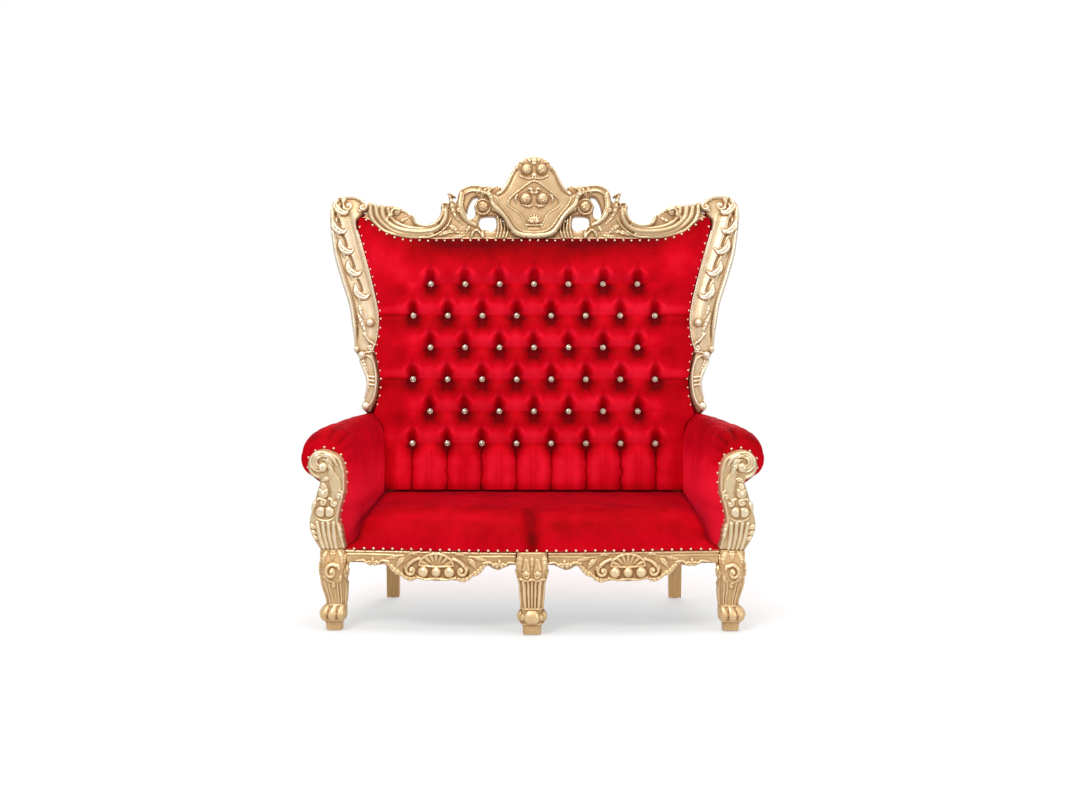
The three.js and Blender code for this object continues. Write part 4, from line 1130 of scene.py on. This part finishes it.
def tuft_shade_and_sheen(X, Z):
    """Painted shade and sheen round the tufts: shade under each row and over each button, sheen between."""
    level = (TOP_ROW - Z) / ROW_SPACING
    under = (level % 1) * ROW_SPACING
    shift = (np.floor(level) % 2) * PITCH / 2
    beneath = 0.5 + 0.5 * np.cos((X - shift) * 2 * math.pi / PITCH)  # 1 under a button, 0 midway
    rows = np.clip((TOP_ROW + 6 - Z) / 12, 0, 1) * np.clip((Z - 540) / 60, 0, 1)
    across = np.clip((570 - np.abs(X)) / 80, 0, 1)
    # Between the rows: painted shade just under each row and under its buttons, painted sheen on the swells
    # between.
    row_shade_and_sheen = 0.20 * (1 - beneath) * bell(under - 5, 50) - 0.30 * beneath * bell(under - 26, 36)
    row_shade_and_sheen += 0.26 * beneath * bell(under - 100, 30) - 0.10 * bell(under - 34, 24) - 0.08 * bell(under, 5)
    painted_shade_and_sheen = row_shade_and_sheen * rows * (0.2 + 0.8 * across)
    # Painted sheen just above the top row, between its buttons.
    painted_shade_and_sheen += 0.12 * bell(Z - TOP_ROW - 34, 30) * across * (1 - beneath)
    # Painted sheen over the upper corners; the top middle is made darker.
    corners = bell(np.abs(X) - 590, 80) * bell(Z - 1375 - 0.4 * (np.abs(X) - 590), 75)
    painted_shade_and_sheen += 0.14 * corners - 0.14 * np.clip((Z - 1350) / 60, 0, 1) * np.clip((560 - np.abs(X)) / 120, 0, 1)
    ripple = wrinkles(X, Z, 70, 14, 19)
    for row, x, z in BUTTONS:
        near = (np.abs(X - x) < 75) & (Z < z + 90) & (Z > (BOTTOM_OF_BACK - 5 if row == 5 else z - 70))
        dx, dz = X[near] - x + 0.5 * ripple[near], Z[near] - z
        up = np.clip(dz / 60, 0, 1)
        reach = 9 + 15 * np.sin(up * math.pi)
        # Painted shadow in the notch above each button and round its pit, painted highlights on the horns
        # beside the notch.
        notch_shadow = np.clip(1.25 - np.abs(dx) / reach, 0, 1) * np.clip(1.15 - up, 0, 1) * (dz > -8)
        horn_highlights = bell(np.abs(dx) - reach - 9, 10) * bell(dz - 46, 17)
        add = -0.60 * notch_shadow + 0.22 * horn_highlights - 0.45 * bell(np.hypot(dx, dz + 3), 17)
        # Below the lowest row: painted sheen on the rounded panels, painted shade in a line down each pleat.
        if row == 5:
            pleat = np.clip((z - Z[near]) / 30, 0, 1)
            rounded = 0.17 * np.sin(np.clip(np.abs(dx) / 70, 0, 1) * math.pi)
            add += pleat * (0.10 + rounded - 0.5 * bell(dx, 4))
        painted_shade_and_sheen[near] += add
    # Along the side seams of the second and fourth rows: painted highlight above each seam, painted shade on
    # it and just below.
    for row in (1, 3):
        z = TOP_ROW - row * ROW_SPACING
        beyond = np.clip((np.abs(X) - 480) / 40, 0, 1)
        painted_shade_and_sheen += beyond * (0.16 * bell(Z - z - 24, 16) - 0.24 * bell(Z - z, 6) - 0.1 * bell(Z - z + 26, 22))
    return painted_shade_and_sheen


def wrinkles(X, Z, scale, amount, seed):
    """Soft random creases, the same each run."""
    rng = np.random.default_rng(seed)
    total = np.zeros(X.shape)
    for _ in range(10):
        a = rng.uniform(0, math.pi)
        k = rng.uniform(0.6, 1.6) / scale
        phase = rng.uniform(0, 6.3)
        wave = (X * math.cos(a) + Z * math.sin(a)) * k * 2 * math.pi
        total += np.sin(wave + phase + 1.7 * np.sin(X * k * 2 + phase))
    return amount * total / 10


def closed_sheet(front, rear):
    """Points and faces of a pad from two grids of points: its front, its rear and its rim."""
    rows, columns = front.shape[:2]
    top = grid_faces(rows, columns)
    count = rows * columns
    bottom = top[:, ::-1] + count
    numbers = np.arange(count).reshape(rows, columns)
    rim = np.concatenate([numbers[0, :-1], numbers[:-1, -1], numbers[-1, :0:-1], numbers[:0:-1, 0]])
    after = np.roll(rim, -1)
    sides = np.stack([rim, after, after + count, rim + count], -1)[:, ::-1]
    return np.vstack([front.reshape(-1, 3), rear.reshape(-1, 3)]), np.vstack([top, bottom, sides])


def back_cushion():
    u = np.linspace(-1, 1, 361)
    v = np.linspace(0, 1, 273)
    U, V = np.meshgrid(u, v)
    Z = BOTTOM_OF_BACK + (top_edge(U * 716) + 2 - BOTTOM_OF_BACK) * V
    X = U * half_width(BOTTOM_OF_BACK + (top_edge(716) + 2 - BOTTOM_OF_BACK) * V)
    depth = tufted_depth(X, Z) + wrinkles(X, Z, 160, 2.0, 3)
    inside = np.minimum(half_width(Z) - np.abs(X), top_edge(X) + 2 - Z)
    edge = quarter(np.clip(inside, 0, 60) / 60)
    beside_arm = np.clip((780 - Z) / 40, 0, 1)
    edge = edge + (1 - edge) * beside_arm * 0.7
    depth = 33 + (depth - 33) * np.clip(edge + 0.04, 0, 1)
    depth = blur(depth, 1.1)
    points, faces = closed_sheet(on_back(X, -depth, Z), on_back(X, np.full(X.shape, -6.2), Z))
    # Painted shade along the foot, where the back meets the seat, and below the top edge.
    painted_shade_and_sheen = tuft_shade_and_sheen(X, Z) - 0.3 * bell(Z - BOTTOM_OF_BACK, 26) - 0.12 * bell(top_edge(X) - Z, 60)
    piece = make_piece("back_velvet", points, faces, [VELVET], painted_shade_and_sheen=np.tile(painted_shade_and_sheen.reshape(-1), 2))
    outward(piece)
    finish_piece(piece, "red_velvet", "back_cushion")


SEAT_BASE = 306.6
SEAT_REAR = 600
SEAT_RISE = 143
NAIL_SPACING = 35.0


def seat_cushion():
    u = np.linspace(-1, 1, 301)
    v = np.linspace(0, 1, 141) ** 1.25
    U, V = np.meshgrid(u, v)
    half = 650 - 42 * V**0.5 + 36 * np.exp(-V / 0.012)
    X = U * half
    corner = 10 * np.clip(np.abs(U) - 0.85, 0, None) ** 2 / 0.15**2
    Y = front_rail_depth(X) * (1 - V) + 1 * (1 - V) + (SEAT_REAR - corner) * V
    roll = quarter(V / 0.30)
    sides = 1 - 0.42 * np.abs(U) ** 7 * (1 - V)
    rise = 3 + SEAT_RISE * roll * sides * (1 - 0.05 * V)
    # Pulled down at the front centre, over the middle leg.
    dip = bell(X + 60 * V, 26) * np.clip(1 - V / 0.42, 0, 1) ** 1.1
    shoulder = bell(X, 120) * np.clip(1 - V / 0.6, 0, 1)
    rise -= 30 * dip * roll + 8 * shoulder * roll
    # Gathers above the nails, and a broad soft unevenness.
    gather = np.cos(X * 2 * math.pi / NAIL_SPACING) * bell(V - 0.02, 0.03)
    rise += 1.2 * gather + wrinkles(X, Y, 300, 4.0, 5) * roll
    bulge = 14 * np.sin(np.clip(V / 0.24, 0, 1) * math.pi) * (1 - 0.9 * bell(X, 30))
    Y = Y - bulge * (1 - np.abs(U) ** 8)
    rear = on_front(X, Y, np.full(X.shape, SEAT_BASE + 0.4))
    points, faces = closed_sheet(on_front(X, Y, SEAT_BASE + np.maximum(rise, 2)), rear)
    # Painted sheen on the front roll; painted shade at the rear against the back, in the dip and along the
    # sides against the arms.
    painted_shade_and_sheen = 0.16 * bell(V - 0.12, 0.09) - 0.12 * bell(V - 1, 0.25) - 0.4 * dip
    painted_shade_and_sheen -= 0.3 * bell(np.abs(U) - 1, 0.025)
    piece = make_piece("seat_velvet", points, faces, [VELVET], painted_shade_and_sheen=np.tile(painted_shade_and_sheen.reshape(-1), 2))
    outward(piece)
    finish_piece(piece, "red_velvet", "seat_cover", "seat_foam")


PAD_FRONT = [
    (700, 307), (707, 350), (709, 393), (702, 450), (690, 515), (686, 565), (688, 605), (700, 650),
    (724, 684), (758, 702), (796, 700), (828, 680), (847, 645), (846, 608), (828, 580), (800, 571),
    (770, 570), (747, 566), (746, 440), (744, 307),
]
PAD_REAR = [
    (602, 307), (603, 350), (603, 400), (602, 460), (600, 530), (599, 580), (600, 630), (604, 680),
    (620, 722), (650, 748), (686, 750), (717, 732), (738, 700), (741, 664), (724, 636), (702, 627),
    (676, 626), (654, 622), (652, 470), (650, 307),
]


def closed_curve(points, count):
    """A closed curve through points, sampled at even lengths."""
    path = smooth_path(points, 4, True)
    path = np.vstack([path, path[:1]])
    s = np.concatenate([[0], np.cumsum(np.linalg.norm(np.diff(path, axis=0), axis=1))])
    at = np.linspace(0, s[-1], count, endpoint=False)
    return np.stack([np.interp(at, s, path[:, 0]), np.interp(at, s, path[:, 1])], -1)


def back_plane_depth(height, depth):
    return PIVOT_DEPTH + depth / math.cos(LEAN) + (height - PIVOT_HEIGHT) * math.tan(LEAN)


ARM_FRONT = 60.6  # just behind the carved facing
ROLL_CENTRES = (762, 618), (672, 665)  # of the arm's roll at its front and rear ends
ROLL_RISE = 38
INNER_SWELL = 50


def arm_surface():
    """Rings of points along an arm pad, from the facing to the back, and the painted shade and sheen on its
    velvet.
    """
    around, along = 220, 90
    first, last = closed_curve(PAD_FRONT, around), closed_curve(PAD_REAR, around)
    t = np.concatenate([[0, 0, 0], np.linspace(0, 1, along) ** 1.15, [1, 1, 1]])
    shrink = np.concatenate([[0.0, 0.55, 0.86], np.ones(along), [0.86, 0.5, 0.0]])
    T, K = t[:, None], shrink[:, None]
    X = first[:, 0] * (1 - T) + last[:, 0] * T
    Z = first[:, 1] * (1 - T) + last[:, 1] * T
    # Fullness between the ends: the roll rises and swells outwards, the inner face inwards.
    centre = np.array(ROLL_CENTRES[0]) * (1 - T)[..., None] + np.array(ROLL_CENTRES[1]) * T[..., None]
    body = K > 0.99
    on_roll = np.clip((Z - 560) / 90, 0, 1) ** 1.5 * body
    low_inside = (X < 723 * (1 - T) + 627 * T) * (1 - np.clip((Z - 470) / 170, 0, 1) ** 1.5) * body
    outside = np.clip((X - centre[..., 0]) / 60, 0, 1)
    swell = 9 * on_roll * outside * bell(T - 0.12, 0.16)
    X = X - INNER_SWELL * low_inside * (1 - np.exp(-T / 0.09)) * (1 - T) + swell
    Z = Z + ROLL_RISE * on_roll * (1 - np.exp(-T / 0.06)) * (1 - T) ** 0.6
    # Radial gathers round the roll where the velvet is nailed to the facing.
    angle = np.arctan2(Z - centre[..., 1], X - centre[..., 0])
    gather = np.abs(np.sin(angle * 6 + 0.9 * np.sin(angle * 3))) ** 0.6 - 0.7
    near_facing = np.clip(T / 0.03, 0, 1) * bell(T, 0.24) * on_roll
    crease = wrinkles(T * 600 + 0 * X, Z + X, 150, 5.0, 11) * np.clip(T / 0.05, 0, 1)
    middle = np.stack([X.mean(1), Z.mean(1)], -1)[:, None]
    out = np.stack([X, Z], -1) - middle
    out /= np.maximum(np.linalg.norm(out, axis=-1, keepdims=True), 1e-6)
    grow = (7 * gather * near_facing + crease * np.maximum(on_roll, low_inside)) * body
    X = X + out[..., 0] * grow
    Z = Z + out[..., 1] * grow
    X = middle[..., 0] + (X - middle[..., 0]) * K
    Z = middle[..., 1] + (Z - middle[..., 1]) * K
    Y = ARM_FRONT * (1 - T) + back_plane_depth(Z, 4) * T
    # The front end is closed just behind the facing.
    Y[0], Y[1], Y[2] = 63.5, 62, 62
    # Painted light and shade: sheen and shade in the gathers by the facing, a lighter inner face, painted
    # shade where the arm meets the back and the seat.
    painted_shade_and_sheen = 0.3 * gather * near_facing + 0.44 * low_inside - 0.3 * bell(T - 1, 0.04)
    painted_shade_and_sheen -= 0.2 * bell(Z - 450, 25) * low_inside
    return X, Y, Z, np.broadcast_to(painted_shade_and_sheen, X.shape)


def arm_pad(name, side):
    X, Y, Z, painted_shade_and_sheen = arm_surface()
    points = on_front(side * X, Y, Z).reshape(-1, 3)
    faces = grid_faces(*X.shape, wrap=True)
    painted_shade_and_sheen = painted_shade_and_sheen.reshape(-1)
    piece = make_piece(f"arm_velvet_{name}", points, faces, [VELVET], painted_shade_and_sheen=painted_shade_and_sheen)
    outward(piece, merge=True)
    finish_piece(piece, "red_velvet", f"arm_pad_{name}")


back_cushion()
seat_cushion()
for name, side in SIDES.items():
    arm_pad(name, side)

# ---- Buttons and nails -------------------------------------------------------------------


BACK_OUT = (0, -math.cos(LEAN), math.sin(LEAN))  # straight out of the reclined back


def turned(profile, sides, centre, axis_up, twist=0.0):
    """Points and faces of a small turned piece: profile of (radius, out) round an axis."""
    up = Vector(axis_up).normalized()
    across = up.orthogonal().normalized()
    other = up.cross(across)
    points = []
    for k, (radius, out) in enumerate(profile):
        for j in range(sides):
            a = 2 * math.pi * (j + twist * (k % 2)) / sides
            ring = across * (radius * math.cos(a)) + other * (radius * math.sin(a))
            points.append(Vector(centre) + ring + up * out)
    faces = grid_faces(len(profile), sides, wrap=True).tolist()
    faces.append(list(range(sides))[::-1])
    faces.append(list(range((len(profile) - 1) * sides, len(profile) * sides)))
    return [tuple(p) for p in points], faces


def join(parts):
    points, faces, slots = [], [], []
    for (p, f), slot in parts:
        faces += [[i + len(points) for i in face] for face in f]
        slots += [slot] * len(f)
        points += p
    return points, faces, slots


RIM = [(0.006, -0.002), (0.0108, -0.001), (0.0118, 0.0012), (0.0113, 0.0032), (0.0098, 0.0040),
       (0.0092, 0.0030)]
STONE = [(0.0094, 0.0028), (0.0092, 0.0040), (0.0066, 0.0068), (0.0036, 0.0078)]


def button_rows():
    for row in range(len(PER_ROW)):
        parts = []
        for _, x, z in (b for b in BUTTONS if b[0] == row):
            centre = on_back(np.array(x), np.array(-BUTTON_DEPTH), np.array(z))
            parts.append((turned(RIM, 20, centre, BACK_OUT), 0))
            parts.append((turned(STONE, 8, centre, BACK_OUT, 0.5), 1))
        points, faces, slots = join(parts)
        piece = make_piece(f"buttons_{row + 1}", points, faces, [NAIL, CRYSTAL], smooth=False, parts=slots)
        for polygon in piece.data.polygons:
            polygon.use_smooth = polygon.material_index == 0
        outward(piece)
        finish_piece(piece, "crystal_buttons", f"button_row_{row + 1}")


NAIL_PROFILE = [(0.0045, -0.0030), (0.0046, 0.0002), (0.0038, 0.0017), (0.0024, 0.0027), (0.0008, 0.0031)]


def nail_run(name, points, outwards):
    """Nails at even spacing along a run of points in metres."""
    p = np.asarray(points)
    s = np.concatenate([[0], np.cumsum(np.linalg.norm(np.diff(p, axis=0), axis=1))])
    count = int(round(s[-1] / (NAIL_SPACING * MM)))
    at = (np.arange(count) + 0.5) / count * s[-1]
    spots = np.stack([np.interp(at, s, p[:, k]) for k in range(3)], -1)
    spots += RNG.normal(0, 0.0008, spots.shape)
    parts = [(turned(NAIL_PROFILE, 12, spot, outwards), 0) for spot in spots]
    mesh_points, faces, _ = join(parts)
    piece = make_piece(name, mesh_points, faces, [NAIL])
    outward(piece)


def nails():
    side_heights = np.linspace(772, 1530, 60)
    across = np.linspace(-706, 706, 120)
    nail_run("nails_back_top", on_back(across, np.full(120, -44.0), top_edge(across) - 6), BACK_OUT)
    seat_x = np.linspace(-668, 668, 140)
    seat_front = on_front(seat_x, front_rail_depth(seat_x) - 3, np.full(140, RAIL_TOP + 6.0))
    nail_run("nails_seat", seat_front, (0, -1, 0.15))
    facing_edge = smooth_path([(694, 320), (703, 360), (708, 400), (702, 450), (688, 505), (682, 565),
                               (687, 612), (706, 652), (742, 675), (784, 672), (815, 650), (829, 616),
                               (822, 586)], 4)
    for name, side in SIDES.items():
        border = on_back(side * (half_width(side_heights) - 6), np.full(60, -37.0), side_heights)
        nail_run(f"nails_back_{name}", border, BACK_OUT)
        points = on_front(side * facing_edge[:, 0], np.full(len(facing_edge), 52.0), facing_edge[:, 1])
        nail_run(f"nails_arm_{name}", points, (0, -1, 0))


button_rows()
nails()

# ---- Outer covers and the rest of the frame ----------------------------------------------


def outer_back():
    """Velvet over the rear: a shallow pad whose sides return to the carved border."""
    half = [(-40, 376), (690, 376), (695, 620), (695, 740), (672, 790), (662, 880), (677, 960), (702, 1040),
            (710, 1170), (744, 1300), (777, 1400), (800, 1560), (690, 1578), (560, 1518), (430, 1490),
            (-40, 1488)]
    r = Relief((0, 370), (810, 1590), level=46, pitch=6)
    r.plate(half)
    both = r.mirrored()
    X, Z = np.meshgrid(both.x, both.z)
    both.height += wrinkles(X, Z, 420, 1.6, 21)
    piece = carve("outer_back_velvet", both, lambda x, h, z: on_back(x, 6.6 + h, z), VELVET, rounding=26,
                  lowest=20)
    outward(piece)
    finish_piece(piece, "red_velvet", "back_outer_cover")


OUTER_ARM_TOP = (569, 623)  # under the roll, at the front and rear
OUTER_ARM_X = 779
OUTER_ARM_TAPER = 80
OUTER_ARM_REAR = 48  # square to the back


def outer_arm(name, side):
    """Velvet on the outside of an arm, from under the roll down to the rail."""
    v, t = np.linspace(0, 1, 50), np.linspace(0, 1, 90)
    T, V = np.meshgrid(t, v)
    top = OUTER_ARM_TOP[0] * (1 - T) + OUTER_ARM_TOP[1] * T
    Z = RAIL_TOP + 1 + (top - RAIL_TOP - 1) * V
    Y = ARM_FRONT * (1 - T) + back_plane_depth(Z, OUTER_ARM_REAR) * T
    length = back_plane_depth(OUTER_ARM_TOP[1], OUTER_ARM_REAR) - ARM_FRONT
    X = OUTER_ARM_X - OUTER_ARM_TAPER * (Y - ARM_FRONT) / length
    puff = 3.2 + 2.2 * np.sin(V * math.pi) * np.sin(T * math.pi) + wrinkles(T * 600, Z, 260, 0.9, 31)
    edge = np.minimum.reduce([V, 1 - V, T, 1 - T])
    puff = puff * quarter(edge / 0.06) + 0.3
    points, faces = closed_sheet(on_front(side * (X + puff), Y, Z), on_front(side * X, Y, Z))
    piece = make_piece(f"outer_arm_velvet_{name}", points, faces, [VELVET])
    outward(piece)
    finish_piece(piece, "red_velvet", f"arm_outer_cover_{name}")


outer_back()
for name, side in SIDES.items():
    outer_arm(name, side)

CAD_FINISH = {
    "rear_post": PAINT,
    "seat_rail_side": PAINT,
    "seat_rail_back": PAINT,
    "glide": FELT,
    "corner_brace": WOOD,
    "arm_frame": WOOD,
    "back_rail": WOOD,
    "seat_stretcher": WOOD,
    "back_panel": PLY,
    "seat_webbing": JUTE,
    "dust_cover": LINING,
}


def dress_frame():
    """Materials and softened edges for the frame's own pieces that stay in view."""
    for node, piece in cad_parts.items():
        for start, material in CAD_FINISH.items():
            if node.startswith(start):
                piece.data.materials.clear()
                piece.data.materials.append(material)
                bevel = piece.modifiers.new("edges", "BEVEL")
                bevel.width = 0.0022
                bevel.segments = 2
                bevel.limit_method = "ANGLE"


dress_frame()

# ---- Floor, light and camera -------------------------------------------------------------


def stage():
    """A pale floor that fades out around the settee, under the studio sky."""
    bpy.ops.mesh.primitive_plane_add(size=9, location=(0, 0, -0.0005))
    floor = bpy.context.object
    floor.name = "floor"
    m = Nodes("pale_floor", Roughness=0.7, Specular_IOR_Level=0.1)
    m.link(m.ramp(m.noise(3, 2), [(0.3, (0.88, 0.88, 0.88)), (0.7, (0.91, 0.91, 0.91))]), "Base Color")
    away = m.add("VectorMath", {0: m.place()}, operation="LENGTH").outputs["Value"]
    m.link(m.map(away, 1.5, 3.6, 0.5, 0), "Alpha")
    floor.data.materials.append(m.material)
    studio_sky()


def studio_sky():
    """White behind the settee, and dimmer round the camera and near the floor."""
    world = bpy.data.worlds.new("studio")
    bpy.context.scene.world = world
    world.use_nodes = True
    tree = world.node_tree
    background = tree.nodes["Background"]
    background.inputs["Color"].default_value = (1, 1, 1, 1)
    split = tree.nodes.new("ShaderNodeSeparateXYZ")
    tree.links.new(tree.nodes.new("ShaderNodeTexCoord").outputs["Generated"], split.inputs[0])
    sky = tree.nodes.new("ShaderNodeMapRange")
    tree.links.new(split.outputs["Z"], sky.inputs["Value"])
    wall = tree.nodes.new("ShaderNodeMapRange")
    tree.links.new(split.outputs["Y"], wall.inputs["Value"])
    tree.links.new(sky.outputs["Result"], wall.inputs["To Min"])
    for node, settings in ((sky, {"From Min": 0.0, "From Max": 0.8, "To Min": 0.42, "To Max": 0.75}),
                           (wall, {"From Min": 0.55, "From Max": 0.88, "To Max": 1.0})):
        for key, value in settings.items():
            node.inputs[key].default_value = value
    tree.links.new(wall.outputs["Result"], background.inputs["Strength"])


def area_light(name, place, target, size, power):
    data = bpy.data.lights.new(name, "AREA")
    data.energy = power
    data.size = size
    lamp = bpy.data.objects.new(name, data)
    lamp.location = place
    lamp.rotation_euler = (Vector(target) - Vector(place)).to_track_quat("-Z", "Y").to_euler()
    bpy.context.scene.collection.objects.link(lamp)


CAMERA_DISTANCE = 5.24
CAMERA_HEIGHT = 1.20
CAMERA_LENS = 48.8
CAMERA_TILT = 3.77  # degrees down


def camera():
    """The photograph's view, almost straight from the front."""
    data = bpy.data.cameras.new("view")
    data.sensor_width = 36
    data.lens = CAMERA_LENS
    view = bpy.data.objects.new("view", data)
    view.location = (0.06, FRONT_Y * MM - CAMERA_DISTANCE, CAMERA_HEIGHT)
    view.rotation_euler = (math.radians(90 - CAMERA_TILT), 0, math.radians(0.60))
    bpy.context.scene.collection.objects.link(view)
    bpy.context.scene.camera = view


stage()
area_light("key", (-1.6, -3.6, 4.4), (0, 0, 0.9), 1.6, 130)
area_light("fill", (3.4, -3.6, 2.2), (0, 0, 0.8), 2.4, 45)
area_light("top", (0, -0.6, 5.0), (0, 0, 0.9), 2.4, 90)
area_light("rear", (0.5, 4.5, 3.2), (0, 0, 1.0), 3.0, 110)
bpy.context.scene.view_settings.view_transform = "Standard"
camera()
